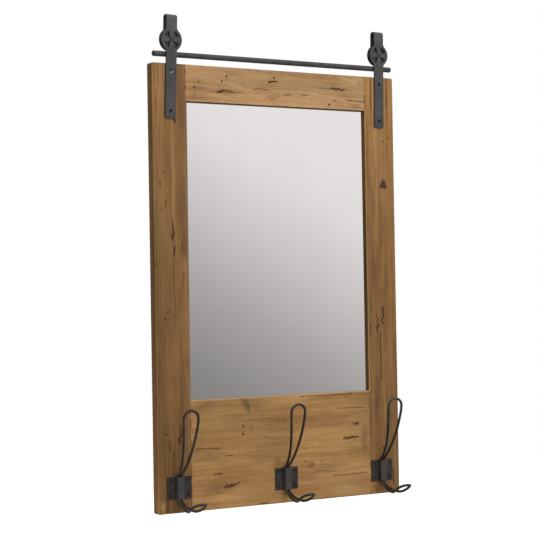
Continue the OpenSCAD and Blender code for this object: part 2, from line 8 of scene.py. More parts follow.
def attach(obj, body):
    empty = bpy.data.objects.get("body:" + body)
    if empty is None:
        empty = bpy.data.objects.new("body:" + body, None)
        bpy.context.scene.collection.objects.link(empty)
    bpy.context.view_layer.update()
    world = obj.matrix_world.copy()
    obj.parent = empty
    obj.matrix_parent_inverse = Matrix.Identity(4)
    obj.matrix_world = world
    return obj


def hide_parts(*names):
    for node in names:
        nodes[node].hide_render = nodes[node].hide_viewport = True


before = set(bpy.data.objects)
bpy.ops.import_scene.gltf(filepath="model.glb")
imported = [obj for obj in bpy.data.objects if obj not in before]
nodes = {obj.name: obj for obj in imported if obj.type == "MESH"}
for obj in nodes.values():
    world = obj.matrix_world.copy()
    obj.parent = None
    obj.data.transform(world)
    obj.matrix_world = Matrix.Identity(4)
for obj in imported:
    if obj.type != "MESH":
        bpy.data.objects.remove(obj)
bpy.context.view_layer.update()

# Sizes that the looks refer to, in millimetres: x to the right, y into the wall, z up
MM = 1000.0                              # millimetres in a metre
FRONT_Y = -19.0                          # front of the boards, whose backs are at 0
HALF_WIDTH = 305.0
TOP_Z, BOTTOM_Z = 37.5, -877.5
OPENING_HALF_WIDTH = 226.0
OPENING_TOP_Z, OPENING_BOTTOM_Z = -37.5, -650.5
OPENING_MIDDLE_Z = (OPENING_TOP_Z + OPENING_BOTTOM_Z) / 2
OPENING_HALF_HEIGHT = (OPENING_TOP_Z - OPENING_BOTTOM_Z) / 2


# ---- Camera, as fitted to the photograph ----

CAMERA_PLACE = (-1.9564, -2.9951, -0.4324)
CAMERA_YAW = math.radians(32.952)
CAMERA_PITCH = math.radians(0.762)
CAMERA_ROLL = math.radians(-0.967)
CAMERA_LENS, SENSOR_WIDTH = 112.20, 36.0
CAMERA_FAR = 60.0


def add_camera():
    data = bpy.data.cameras.new("camera")
    data.sensor_width = SENSOR_WIDTH
    data.lens = CAMERA_LENS
    data.clip_end = CAMERA_FAR
    cam = bpy.data.objects.new("camera", data)
    bpy.context.scene.collection.objects.link(cam)
    flat = math.cos(CAMERA_PITCH)
    ahead = Vector((math.sin(CAMERA_YAW) * flat, math.cos(CAMERA_YAW) * flat, math.sin(CAMERA_PITCH)))
    side = Vector((math.cos(CAMERA_YAW), -math.sin(CAMERA_YAW), 0))
    up = side.cross(ahead)
    right = side * math.cos(CAMERA_ROLL) + up * math.sin(CAMERA_ROLL)
    top = up * math.cos(CAMERA_ROLL) - side * math.sin(CAMERA_ROLL)
    turn = Matrix((right, top, -ahead)).transposed()
    cam.matrix_world = Matrix.Translation(CAMERA_PLACE) @ turn.to_4x4()
    bpy.context.scene.camera = cam
    bpy.context.scene.view_settings.view_transform = "Standard"


# ---- Shader nodes ----

class Graph:
    """A node tree that is written as nested calls."""

    def __init__(self, tree):
        self.tree = tree

    def node(self, kind, ins=None, **props):
        n = self.tree.nodes.new(kind)
        for key, value in props.items():
            setattr(n, key, value)
        for key, value in (ins or {}).items():
            if isinstance(value, bpy.types.NodeSocket):
                self.tree.links.new(value, n.inputs[key])
            else:
                n.inputs[key].default_value = value
        return n

    def math(self, op, *values, clamp=False):
        n = self.node("ShaderNodeMath", dict(enumerate(values)), operation=op, use_clamp=clamp)
        return n.outputs[0]

    def fold(self, op, first, *rest):
        for value in rest:
            first = self.math(op, first, value)
        return first

    def plus(self, *values):
        return self.fold("ADD", *values)

    def minus(self, a, b):
        return self.math("SUBTRACT", a, b)

    def times(self, *values):
        return self.fold("MULTIPLY", *values)

    def largest(self, *values):
        return self.fold("MAXIMUM", *values)

    def size(self, value):
        return self.math("ABSOLUTE", value)

    def linear(self, value, slope, start, clamp=False):
        return self.math("MULTIPLY_ADD", value, slope, start, clamp=clamp)

    def vec(self, op, *values):
        n = self.node("ShaderNodeVectorMath", dict(enumerate(values)), operation=op)
        return n.outputs["Value"] if op in ("LENGTH", "DOT_PRODUCT", "DISTANCE") else n.outputs[0]

    def xyz(self, x, y, z):
        return self.node("ShaderNodeCombineXYZ", {0: x, 1: y, 2: z}).outputs[0]

    def split(self, v):
        return self.node("ShaderNodeSeparateXYZ", {0: v}).outputs

    def place(self, scale=1.0):
        """The point in the part's frame, in metres times scale."""
        at = self.node("ShaderNodeTexCoord").outputs["Object"]
        return at if scale == 1.0 else self.vec("MULTIPLY", at, (scale,) * 3)

    def normal(self):
        return self.split(self.node("ShaderNodeNewGeometry").outputs["Normal"])

    def noise(self, v, scale, detail=2.0, rough=0.5, output="Fac"):
        """Noise at the point v. The scale is one number, or one for each axis."""
        if isinstance(scale, tuple):
            v, scale = self.vec("MULTIPLY", v, scale), 1.0
        ins = {"Vector": v, "Scale": scale, "Detail": detail, "Roughness": rough}
        return self.node("ShaderNodeTexNoise", ins).outputs[output]

    def mix(self, factor, a, b, blend="MIX"):
        n = self.node("ShaderNodeMix", {0: factor, 6: a, 7: b}, data_type="RGBA", blend_type=blend)
        return n.outputs[2]

    def tint(self, color, mask, strength, tint):
        """The colour with a tint laid over it where the mask is 1."""
        return self.mix(self.times(mask, strength), color, tint)

    def ramp(self, factor, stops):
        n = self.node("ShaderNodeValToRGB", {0: factor})
        n.color_ramp.interpolation = "LINEAR"
        elements = n.color_ramp.elements
        while len(elements) < len(stops):
            elements.new(0.5)
        for element, (place, color) in zip(elements, stops):
            element.position = place
            element.color = color if len(color) == 4 else (*color, 1)
        return n.outputs[0]

    def span(self, value, low, high, smooth=True):
        """0 from low outwards and 1 from high outwards; low may be the larger."""
        (start, at_start), (end, at_end) = sorted([(low, 0.0), (high, 1.0)])
        n = self.node("ShaderNodeMapRange", {0: value, 1: start, 2: end, 3: at_start, 4: at_end},
                      interpolation_type="SMOOTHSTEP" if smooth else "LINEAR")
        return n.outputs[0]

    def scale(self, value, stops):
        """The colour at a value, between stops that are written as (value, colour)."""
        low, high = stops[0][0], stops[-1][0]
        return self.ramp(self.span(value, low, high, smooth=False),
                         [((stop - low) / (high - low), color) for stop, color in stops])

    def bump(self, height, strength, distance, normal=None):
        ins = {"Height": height, "Strength": strength, "Distance": distance}
        if normal is not None:
            ins["Normal"] = normal
        return self.node("ShaderNodeBump", ins).outputs[0]


def srgb(*rgb):
    """A colour written as 0 to 255, as a linear one."""
    linear = [c / 255 / 12.92 if c <= 10 else ((c / 255 + 0.055) / 1.055) ** 2.4 for c in rgb]
    return (*linear, 1.0)


def grey(value):
    return (value,) * 3


def material(name):
    mat = bpy.data.materials.new(name)
    mat.use_nodes = True
    mat.node_tree.nodes.clear()
    return mat, Graph(mat.node_tree)


def finish(g, ins):
    shader = g.node("ShaderNodeBsdfPrincipled", ins)
    g.node("ShaderNodeOutputMaterial", {0: shader.outputs[0]})


def dress(mat, *names):
    for name in names:
        ob = nodes[name] if isinstance(name, str) else name
        ob.data.materials.clear()
        ob.data.materials.append(mat)


# ---- Scars of the wood: strokes of one or more points, with a half width and a strength ----

SCAR_SOFT = 0.8                          # millimetres over which the side of a scar fades
SCAR_SLIM = 0.8                          # share of the written half width that is fully dark
NO_SCAR = -100.0                         # depth where no scar is near
FAR = 1e6
POINT_LENGTH_2 = 1e-4                    # squared length of a stroke that is one point
FLAT = (1.0, 0.0, 1.0)                   # keeps x and z of a vector


def scar_group(long):
    """One more scar: passes on the point's x and z, and as y its depth in the nearest scar."""
    tree = bpy.data.node_groups.new("long_scar" if long else "round_scar", "ShaderNodeTree")
    for name in ("So far", "Minus A", "AB", "Per length", "Width"):
        tree.interface.new_socket(name, in_out="INPUT", socket_type="NodeSocketVector")
    tree.interface.new_socket("So far", in_out="OUTPUT", socket_type="NodeSocketVector")
    g = Graph(tree)
    given = g.node("NodeGroupInput").outputs
    from_a = g.vec("MULTIPLY_ADD", given["So far"], FLAT, given["Minus A"])
    if long:
        share = g.math("ADD", g.vec("DOT_PRODUCT", from_a, given["Per length"]), 0.0, clamp=True)
        along = g.node("ShaderNodeVectorMath", {0: given["AB"], "Scale": share}, operation="SCALE")
        distance = g.vec("DISTANCE", from_a, along.outputs[0])
    else:
        distance = g.vec("LENGTH", from_a)
    depth = g.vec("MULTIPLY_ADD", distance, (0.0, -1.0, 0.0), given["Width"])
    g.node("NodeGroupOutput", {0: g.vec("MAXIMUM", given["So far"], depth)})
    return tree


ROUND_SCAR, LONG_SCAR = scar_group(False), scar_group(True)


def scar_depth(g, p, scars):
    """How deep the point p (millimetres) lies in the nearest scar."""
    so_far = g.vec("ADD", g.vec("MULTIPLY", p, FLAT), (0.0, NO_SCAR, 0.0))
    for points, half_width, strength in scars:
        reach = SCAR_SLIM * half_width * strength - SCAR_SOFT * (1 - strength)
        for a, b in list(zip(points[:-1], points[1:])) or [(points[0], points[0])]:
            ab = Vector((b[0] - a[0], 0, b[1] - a[1]))
            so_far = g.node("ShaderNodeGroup", {
                "So far": so_far,
                "Minus A": (-a[0], 0, -a[1]),
                "AB": ab,
                "Per length": ab / max(ab.length_squared, POINT_LENGTH_2),
                "Width": (-FAR, reach, -FAR),
            }, node_tree=ROUND_SCAR if a == b else LONG_SCAR).outputs[0]
    return g.split(so_far)[1]


def dot(x, z, half_width=1.5, strength=1.0):
    return ([(x, z)], half_width, strength)


def crack(points, half_width=0.9, strength=0.95):
    return (points, half_width, strength)


def line(points, half_width=0.35, strength=0.6):
    return (points, half_width, strength)


# ---- Wood ----

SEED_ALONG = 3.7                         # how much further a seed shifts the grain along the board
# Patterns, by their scale across the grain (twice) and along it, per metre
DRIFT, RIPPLE = (7.0, 7.0, 3.4), (24.0, 24.0, 11.0)
CLOUD = (18.0, 18.0, 9.0)
SAW_MARKS = (12.0, 12.0, 260.0)
SPECKLE = (1400.0, 1400.0, 20.0)
CAST = (30.0, 30.0, 3.0)
# Streaks along the grain: scale across and along, detail, roughness
STREAKS = {
    "broad": (24.0, 1.6, 2.0, 0.55),
    "middle": (90.0, 2.8, 4.0, 0.62),
    "fine": (460.0, 9.0, 3.0, 0.6),
    "hair": (1300.0, 26.0, 2.0, 0.55),
    "pores": (900.0, 34.0, 1.0, 0.55),
    "dashes": (330.0, 19.0, 1.0, 0.55),
}
TONE_WEIGHTS = {"broad": 0.5, "middle": 0.62, "fine": 0.46, "hair": 0.16, "cloud": 0.42}
LATE_WEIGHT, SAW_WEIGHT, SPECKLE_WEIGHT = 0.055, 0.1, 0.5
TONE_STOPS = (0.08, 0.36, 0.58, 0.9)
# Late wood: radians per metre, and how far the broad streaks bend it
RING_WAVES, RING_BEND = 620.0, 22.0
# Rings of the end grain: radians per metre, and how many metres the clouds bend them
END_WAVES, END_BEND = 1500.0, 0.006
END_TONE, END_RING_WEIGHT = 0.22, 0.07
GRAIN_DEPTH, HOLE_DEPTH = 0.0004, 0.0016    # of the relief, in metres
# Noise that shakes places: scale per millimetre, detail, and twice its reach in millimetres
LOOSE, STRAIGHT, CRUMBLED = (0.055, 2.0, 26.0), (0.011, 1.0, 9.0), (0.42, 3.0, 3.4)
SLENDER = 5                              # a patch that is this much longer than wide stays straight

ROSY, OLIVE = srgb(176, 122, 80), srgb(142, 116, 80)
KNOT_STAIN, KNOT_CORE = srgb(84, 56, 44), srgb(50, 32, 27)
SCAR_RIM, SCAR_WALL, SCAR_FLOOR = srgb(108, 74, 44), srgb(92, 55, 33), srgb(40, 26, 17)
DIRT_VEIL, DIRT, HANDLED = srgb(96, 66, 42), srgb(58, 40, 26), srgb(104, 74, 48)
# pale lines in the grain, and a painted highlight for the arrises round the opening
PALE_LINE, ARRIS_HIGHLIGHT = srgb(206, 172, 126), srgb(214, 178, 130)
# a painted glint for the outer arrises, and the paler back
ARRIS_GLINT, PALE_BACK = srgb(206, 170, 122), srgb(190, 160, 122)
SIDE_SHADOW = srgb(58, 40, 20)
# Factors of the wood's colour on the stiles' sides, as painted shade
OUTER_SIDE, OPENING_SIDE = (0.94, 0.90, 0.72, 1), (0.70, 0.75, 0.76, 1)


class Wood:
    """Old softwood of one board, laid up in steps.

    across, depth, along, base and flow are in metres, and at, x, y and z in millimetres.
    """

    def __init__(self, name, upright, seed, wander, wave, contrast, stretch):
        self.mat, self.g = material(name)
        self.upright, self.contrast, self.stretch = upright, contrast, stretch
        g = self.g
        x, self.depth, z = g.split(g.place())
        self.across, self.along = (x, z) if upright else (z, x)
        self.base = g.xyz(g.plus(self.across, seed), self.depth, g.plus(self.along, seed * SEED_ALONG))
        # the grain bends: it is shifted slowly across the board
        drift = g.minus(g.noise(self.base, DRIFT), 0.5)
        ripple = g.minus(g.noise(self.base, RIPPLE), 0.5)
        shift = g.plus(g.times(drift, wander), g.times(ripple, wave))
        bx, by, bz = g.split(self.base)
        self.flow = g.xyz(g.plus(bx, shift), g.plus(by, g.times(shift, 0.6)), bz)
        self.at = g.place(MM)
        self.x, self.y, self.z = g.split(self.at)
        self.front = g.span(self.y, FRONT_Y + 0.5, FRONT_Y + 0.3, smooth=False)

    def tint(self, mask, strength, color):
        self.color = self.g.tint(self.color, mask, strength, color)

    def streaks(self, kind):
        across, along, detail, rough = STREAKS[kind]
        return self.g.noise(self.flow, (across, across, along * self.stretch), detail, rough)

    def lean(self, value, amount):
        """What a pattern, which is 0.5 on average, adds to the tone."""
        return self.g.times(self.g.minus(value, 0.5), amount * self.contrast)

    def shaken(self, scale, detail, reach):
        """The point's x and z, shaken by a noise."""
        g = self.g
        noise = g.noise(self.at, scale, detail, output="Color")
        offset = g.vec("MULTIPLY", g.vec("SUBTRACT", noise, grey(0.5)), (reach, 0.0, reach))
        return g.vec("MULTIPLY", g.vec("ADD", self.at, offset), FLAT)

    def end_grain(self, tone):
        """The tone, with rings round a line through the part's origin on the ends of the board."""
        g = self.g
        end = g.span(g.size(g.normal()[2 if self.upright else 0]), 0.8, 0.95)
        radius = g.vec("LENGTH", g.xyz(self.across, self.depth, 0.0))
        bent = g.plus(radius, g.times(self.patterns["cloud"], END_BEND))
        rings = g.math("SINE", g.times(bent, END_WAVES))
        speckle = self.lean(g.noise(self.base, SPECKLE), SPECKLE_WEIGHT)
        cut = g.plus(END_TONE, g.plus(g.times(rings, END_RING_WEIGHT), speckle))
        return g.node("ShaderNodeMix", {0: end, 2: tone, 3: cut}).outputs[0]

    def lay_grain(self, tones):
        g = self.g
        self.patterns = {kind: self.streaks(kind) for kind in ("broad", "middle", "fine", "hair")}
        cloud = self.patterns["cloud"] = g.noise(self.base, CLOUD, 4.0, 0.6)
        # late wood: thin darker lines where a slow wave across the board peaks
        rings = g.math("SINE", g.plus(g.times(g.split(self.flow)[0], RING_WAVES),
                                      g.times(self.patterns["broad"], RING_BEND)))
        self.late = g.math("POWER", g.linear(rings, 0.5, 0.5), 6.0)
        tone = 0.5
        for kind, weight in TONE_WEIGHTS.items():
            tone = g.plus(tone, self.lean(self.patterns[kind], weight))
        tone = g.minus(tone, g.times(self.late, LATE_WEIGHT * self.contrast))
        # faint marks of the saw, across the grain
        sawn = self.lean(g.noise(self.base, SAW_MARKS), SAW_WEIGHT)
        tone = g.plus(tone, g.times(sawn, g.span(cloud, 0.35, 0.6)))
        self.tone = self.end_grain(tone)
        self.color = g.ramp(self.tone, list(zip(TONE_STOPS, tones)))

    def lay_casts(self, darkest):
        """Rosy and olive casts, dark pores, and short brown hairs along the grain."""
        g = self.g
        cast = g.noise(self.base, CAST, 3.0)
        self.tint(g.span(cast, 0.52, 0.72), 0.22, ROSY)
        self.tint(g.span(cast, 0.46, 0.28), 0.22, OLIVE)
        self.pores = g.span(self.streaks("pores"), 0.66, 0.74)
        self.tint(self.pores, 0.32, darkest)
        dashes = g.times(g.span(self.streaks("dashes"), 0.685, 0.76),
                         g.span(self.patterns["cloud"], 0.40, 0.62))
        self.tint(dashes, 0.5, darkest)

    def lay_brightness(self, shade, width):
        g = self.g
        # brightness along the board, partly its own tone and partly painted shade where the light falls
        # off
        sides = [g.scale(self.along, [(row[0], grey(row[side])) for row in shade]) for side in (1, 2)]
        level = g.mix(g.span(self.across, *width), *sides)
        self.color = g.mix(1.0, self.color, g.vec("MULTIPLY", level, grey(2.0)), "MULTIPLY")

    def lay_patches(self, patches):
        """Soft ovals."""
        g = self.g
        loose, straight = self.shaken(*LOOSE), self.shaken(*STRAIGHT)
        grain = g.linear(self.patterns["middle"], 1.1, 0.45)
        for cx, cz, rx, rz, color, strength in patches:
            p = straight if max(rx, rz) > SLENDER * min(rx, rz) else loose
            away = g.vec("MULTIPLY", g.vec("SUBTRACT", p, (cx, 0, cz)), (1 / rx, 0, 1 / rz))
            mask = g.times(g.span(g.vec("LENGTH", away), 1.0, 0.0), strength, grain)
            self.color = g.mix(g.math("MINIMUM", mask, 1.0), self.color, color)

    def lay_scars(self, scars, pale, knot):
        """The knot, pale lines, and the dark scars: worm holes, checks and crumbled knots."""
        g = self.g
        p = self.shaken(*CRUMBLED)
        if knot:
            depth = scar_depth(g, p, knot)
            self.tint(g.times(g.linear(depth, 0.24, 1.0, clamp=True), self.front), 0.85, KNOT_STAIN)
            self.tint(g.times(g.linear(depth, 0.5, 0.1, clamp=True), self.front), 0.7, KNOT_CORE)
        if pale:
            depth = scar_depth(g, p, pale)
            self.tint(g.times(g.linear(depth, 0.45, 1.0, clamp=True), self.front), 0.55, PALE_LINE)
        self.scar = 0.0
        if not scars:
            return
        depth = scar_depth(g, p, scars)
        halo = g.times(g.linear(depth, 0.3, 1.0, clamp=True), self.front)
        # broken up where it is shallow
        broken = g.linear(g.span(g.noise(self.at, 0.42), 0.38, 0.52), 0.65, 0.35)
        kept = g.largest(broken, g.linear(depth, 1.4, 0.0, clamp=True))
        self.scar = g.times(g.linear(depth, 1 / SCAR_SOFT, 1.0, clamp=True), self.front, kept)
        self.tint(g.math("POWER", halo, 2.0), 0.42, SCAR_RIM)
        hollow = g.mix(g.linear(depth, 1.2, 0.5, clamp=True), SCAR_WALL, SCAR_FLOOR)
        self.color = g.mix(self.scar, self.color, hollow)

    def lay_dirt(self):
        """Dirt in the joints between stiles and rails, and darker outer edges."""
        g = self.g
        from_joint = g.size(g.minus(g.size(self.x), OPENING_HALF_WIDTH))
        at_rails = g.largest(g.span(self.z, OPENING_TOP_Z - 1.0, OPENING_TOP_Z + 0.5),
                             g.span(self.z, OPENING_BOTTOM_Z + 1.5, OPENING_BOTTOM_Z))
        ragged = g.span(g.noise(self.at, 0.09, 3.0), 0.38, 0.66)
        self.joint = g.times(g.span(from_joint, 1.1, 0.25), at_rails, ragged)
        self.tint(g.times(g.span(from_joint, 5.0, 0.0), at_rails, ragged), 0.30, DIRT_VEIL)
        self.tint(self.joint, 0.62, DIRT)
        rim = g.largest(g.span(g.size(self.x), HALF_WIDTH - 1.0, HALF_WIDTH + 0.5),
                        g.span(self.z, TOP_Z - 3.5, TOP_Z), g.span(self.z, BOTTOM_Z + 3.5, BOTTOM_Z))
        self.tint(rim, 0.22, HANDLED)

    def shade_sides(self):
        """Painted shade on the sides of a stile: darker and yellower outside, darker and greyer in the
        opening, and darker still towards the top.
        """
        g = self.g
        side = g.span(g.size(g.normal()[0]), 0.6, 0.85)
        in_opening = g.span(g.size(self.x), 300.0, 290.0)
        factor = g.mix(in_opening, OUTER_SIDE, OPENING_SIDE)
        self.color = g.mix(side, self.color, g.vec("MULTIPLY", self.color, factor))
        # painted shade, deeper towards the top of the sides
        self.tint(g.times(side, g.span(self.z, -200.0, -30.0)), 0.3, SIDE_SHADOW)

    def lay_highlights_and_back(self):
        """Painted highlights on the arrises round the opening and painted glints along the outer edges,
        and a paler back.
        """
        g = self.g
        from_middle = g.size(g.minus(self.z, OPENING_MIDDLE_Z))
        from_opening = g.largest(g.minus(g.size(self.x), OPENING_HALF_WIDTH),
                                 g.minus(from_middle, OPENING_HALF_HEIGHT))
        # painted highlight on the arrises round the opening, stronger on the bottom rail's top edge
        lighter = g.times(g.span(from_opening, 2.8, 0.8), g.span(from_opening, -0.6, 0.0),
                       g.span(self.y, FRONT_Y + 1.0, FRONT_Y + 0.1))
        more_at_bottom = g.linear(g.span(self.z, -640.0, -652.0), 0.35, 0.40)
        not_at_left = g.span(self.x, -OPENING_HALF_WIDTH - 0.6, -OPENING_HALF_WIDTH + 0.4)
        self.color = g.mix(g.times(lighter, more_at_bottom, not_at_left), self.color, ARRIS_HIGHLIGHT)
        # painted glints along the outer arrises
        arris = g.times(g.span(g.size(self.x), HALF_WIDTH - 3.4, HALF_WIDTH - 2.4),
                        g.span(g.size(self.x), HALF_WIDTH - 0.4, HALF_WIDTH - 1.0))
        self.tint(g.times(arris, self.front), 0.2, ARRIS_GLINT)
        self.tint(g.span(self.y, -0.4, -0.1, smooth=False), 0.3, PALE_BACK)

    def finish(self):
        g = self.g
        height = g.plus(g.times(self.patterns["fine"], 0.5), g.times(self.patterns["middle"], 0.35),
                        g.times(self.patterns["hair"], 0.22))
        height = g.minus(g.minus(height, g.times(self.pores, 0.5)), g.times(self.late, 0.12))
        relief = g.bump(height, 0.5, GRAIN_DEPTH)
        solid = g.minus(1.0, g.largest(self.scar, g.times(self.joint, 0.7)))
        relief = g.bump(solid, 0.9, HOLE_DEPTH, relief)
        rough = g.plus(0.56, g.times(g.minus(1.0, self.tone), 0.22))
        rough = g.math("ADD", rough, g.times(self.scar, 0.2), clamp=True)
        finish(g, {"Base Color": self.color, "Roughness": rough, "Normal": relief,
                   "Specular IOR Level": 0.32})
        return self.mat


def wood(name, upright, seed, width, tones, shade, scars=(), pale=(), knot=(), patches=(),
         wander=0.03, wave=0.004, contrast=1.0, stretch=1.0):
    """The material of one board.

    upright: the grain runs along z. width: the board's two sides, in metres.
    tones: from dark to pale. shade: brightness along the board, partly painted shade.
    scars, pale, knot: strokes. patches: (cx, cz, rx, rz, colour, strength).
    wander, wave: how far the grain bends. contrast, stretch: of the grain.
    """
    board = Wood(name, upright, seed, wander, wave, contrast, stretch)
    board.lay_grain(tones)
    board.lay_casts(tones[0])
    board.lay_brightness(shade, width)
    board.lay_patches(patches)
    board.lay_scars(scars, pale, knot)
    board.lay_dirt()
    if upright:
        board.shade_sides()
    board.lay_highlights_and_back()
    return board.finish()


# Tints of the wood's patches
UMBER = srgb(101, 69, 43)
BROWN = srgb(118, 82, 53)
TAWNY = srgb(136, 98, 64)
GREYED = srgb(108, 86, 58)
HONEY = srgb(158, 118, 76)
STRAW = srgb(177, 137, 87)
PALE = srgb(190, 152, 102)

# What is on each board's front, in millimetres: strokes, and patches as the x and z of their
# middle, their half width and half height, a tint and a strength
TOP_PALE = [
    line([(-222, 14), (-190, 15), (-161, 10), (-137, 6), (-110, 0), (-77, -8), (-55, -9)], 0.5, 0.8),
    line([(163, 31), (204, 22)], 1.6, 0.8), line([(-169, -20), (-126, -28), (-83, -32)], 1.2, 0.6),
]
LEFT_SCARS = [
    crack([(-254, -75), (-252, -82)], 1.3), dot(-281, -184, 1.5), dot(-272, -172, 0.9, 0.5),
    crack([(-289, -206), (-289, -216)], 0.9, 0.8), line([(-288, -257), (-288, -268)]),
    line([(-276, -241), (-277, -257)], 0.5), line([(-281, -120), (-281, -142)], 0.4, 0.4),
    crack([(-261, -286), (-260, -302), (-258, -309)], 0.8, 0.9),
    crack([(-258, -309), (-263, -314), (-262, -322)], 1.5), crack([(-257, -338), (-259, -351)], 1.3),
    dot(-302, -372, 1.5), dot(-275, -469, 1.7), dot(-281, -483, 1.7), dot(-281, -494, 0.8, 0.5),
    dot(-283, -701, 1.2, 0.8), dot(-283, -691, 0.8, 0.5), dot(-284, -717, 1.6),
    crack([(-251, -701), (-248, -722)], 0.9), crack([(-248, -722), (-254, -727), (-252, -736)], 1.5),
    crack([(-276, -731), (-275, -750)], 0.8, 0.8), dot(-274, -750, 1.5),
    line([(-268, -752), (-269, -801)], 0.5, 0.8), line([(-277, -765), (-277, -790)], 0.4, 0.4),
    line([(-282, -850), (-283, -876)], 0.6, 0.85), line([(-268, -851), (-268, -877)], 0.6, 0.85),
    line([(-291, 36), (-290, 12), (-289, -8)], 1.2, 0.42), line([(-294, -14), (-296, -60)], 0.8, 0.3),
    dot(-253, -74, 1.3, 0.8), dot(-251, -27, 1.2, 0.7),
]
LEFT_PATCHES = [
    (-290, -120, 9, 60, TAWNY, 0.45), (-279, -150, 5, 45, TAWNY, 0.4),
    (-258, -240, 5, 90, STRAW, 0.45), (-246, -335, 4, 26, STRAW, 0.6),
    (-246, -405, 8, 30, HONEY, 0.45),
    (-237, -60, 15, 130, BROWN, 0.75), (-240, -260, 17, 120, BROWN, 0.8),
    (-236, -340, 14, 60, UMBER, 0.7), (-239, -402, 8, 18, UMBER, 0.6),
    (-258, -180, 7, 170, STRAW, 0.45), (-236, -372, 7, 24, STRAW, 0.5),
    (-250, 20, 12, 60, TAWNY, 0.6), (-285, 0, 14, 70, PALE, 0.35),
    (-262, -318, 7, 26, UMBER, 0.35), (-252, -722, 7, 26, UMBER, 0.4),
    (-292, -862, 10, 20, PALE, 0.5), (-276, -560, 26, 200, TAWNY, 0.3),
]
RIGHT_SCARS = [
    crack([(266, -469), (267, -483), (269, -489), (265, -495), (264, -502), (268, -506)], 1.4),
    crack([(256, -509), (250, -512), (251, -520)], 1.2), line([(259, -522), (260, -625)], 0.6, 0.75),
    dot(260, -625, 1.7), line([(233, -505), (233, -528)], 0.8, 0.45),
    line([(244, 37), (243, -30)], 0.9, 0.7), line([(243, -30), (242, -70)], 0.6, 0.3),
    line([(287, 37), (286, -28)], 1.1, 0.55), line([(245, -666), (244, -712)], 1.0, 0.5),
    crack([(289, -825), (288, -858)], 0.7, 0.8), dot(262, -777, 1.5), dot(266, -603, 0.9, 0.5),
    line([(302, -638), (302, -648)], 1.0, 0.5), dot(275, -104, 1.5), dot(290, -96, 1.4),
    dot(266, -327, 1.6), line([(284, -115), (284, -138)], 0.4, 0.4),
    line([(241, -800), (241, -872)], 0.4, 0.5), dot(236, -862, 1.3, 0.8),
]
RIGHT_KNOT = [
    crack([(274, -192), (268, -203), (280, -204), (274, -192)], 3.2, 1.0), dot(274, -200, 4.0),
]
RIGHT_PATCHES = [
    (246, -235, 6, 55, BROWN, 0.55), (255, -230, 3, 160, STRAW, 0.7),
    (243, -385, 8, 85, UMBER, 0.7), (236, -210, 6, 50, TAWNY, 0.5),
    (256, -560, 4, 50, UMBER, 0.5), (253, -632, 12, 42, UMBER, 0.5),
    (243, -700, 4, 50, UMBER, 0.5), (261, -700, 3, 60, UMBER, 0.4),
    (268, -700, 4, 50, STRAW, 0.5), (235, -470, 5, 26, UMBER, 0.45),
    (252, -500, 8, 34, UMBER, 0.5), (233, -517, 6, 24, UMBER, 0.6),
    (250, -665, 14, 50, UMBER, 0.65), (244, 0, 6, 120, TAWNY, 0.6),
    (287, -10, 7, 90, BROWN, 0.6), (256, -10, 5, 120, PALE, 0.5),
    (278, -10, 5, 120, PALE, 0.4), (238, -330, 9, 120, TAWNY, 0.4),
    (258, -575, 8, 70, BROWN, 0.35), (284, -560, 14, 160, HONEY, 0.4),
]
TOP_SCARS = [
    dot(-194, 4, 1.6), dot(-205, -9, 2.0), dot(-127, 18, 1.9), dot(-139, 7, 1.8),
    dot(-186, 20, 0.8, 0.5),
    crack([(-150, -16), (-143, -15), (-134, -11)], 1.5), crack([(-134, -11), (-113, -13)], 0.8, 0.7),
    dot(-145, -15, 2.4, 0.9), line([(-170, -17), (-90, -14)], 0.5, 0.35),
    crack([(-61, -7), (-50, -4), (-40, -4), (-24, -6)], 0.7, 0.6),
    crack([(-21, 11), (-16, 13), (-3, 14)], 1.2), dot(-21, 11, 2.0), dot(-9, 21, 2.0),
    crack([(138, 6), (146, 8), (151, 4), (157, 8), (163, 4), (173, 6)], 1.1),
    dot(146, -20, 1.7), dot(132, -29, 2.1), line([(178, -16), (188, -18), (225, -18)], 0.6, 0.7),
    line([(13, -14), (33, -13)], 0.6, 0.7), line([(62, -12), (77, -11)], 0.6, 0.6),
    line([(100, 5), (137, 6)], 0.6, 0.3),
]
TOP_PATCHES = [
    (-132, -13, 46, 8, BROWN, 0.6), (-195, -12, 60, 11, TAWNY, 0.7),
    (-205, -28, 40, 10, BROWN, 0.5), (-14, -21, 30, 9, TAWNY, 0.6),
    (156, 4, 36, 9, TAWNY, 0.45), (170, -9, 26, 7, TAWNY, 0.4),
    (-12, 10, 34, 12, HONEY, 0.4), (205, -30, 30, 9, TAWNY, 0.5),
    (60, 15, 80, 20, STRAW, 0.4),
]
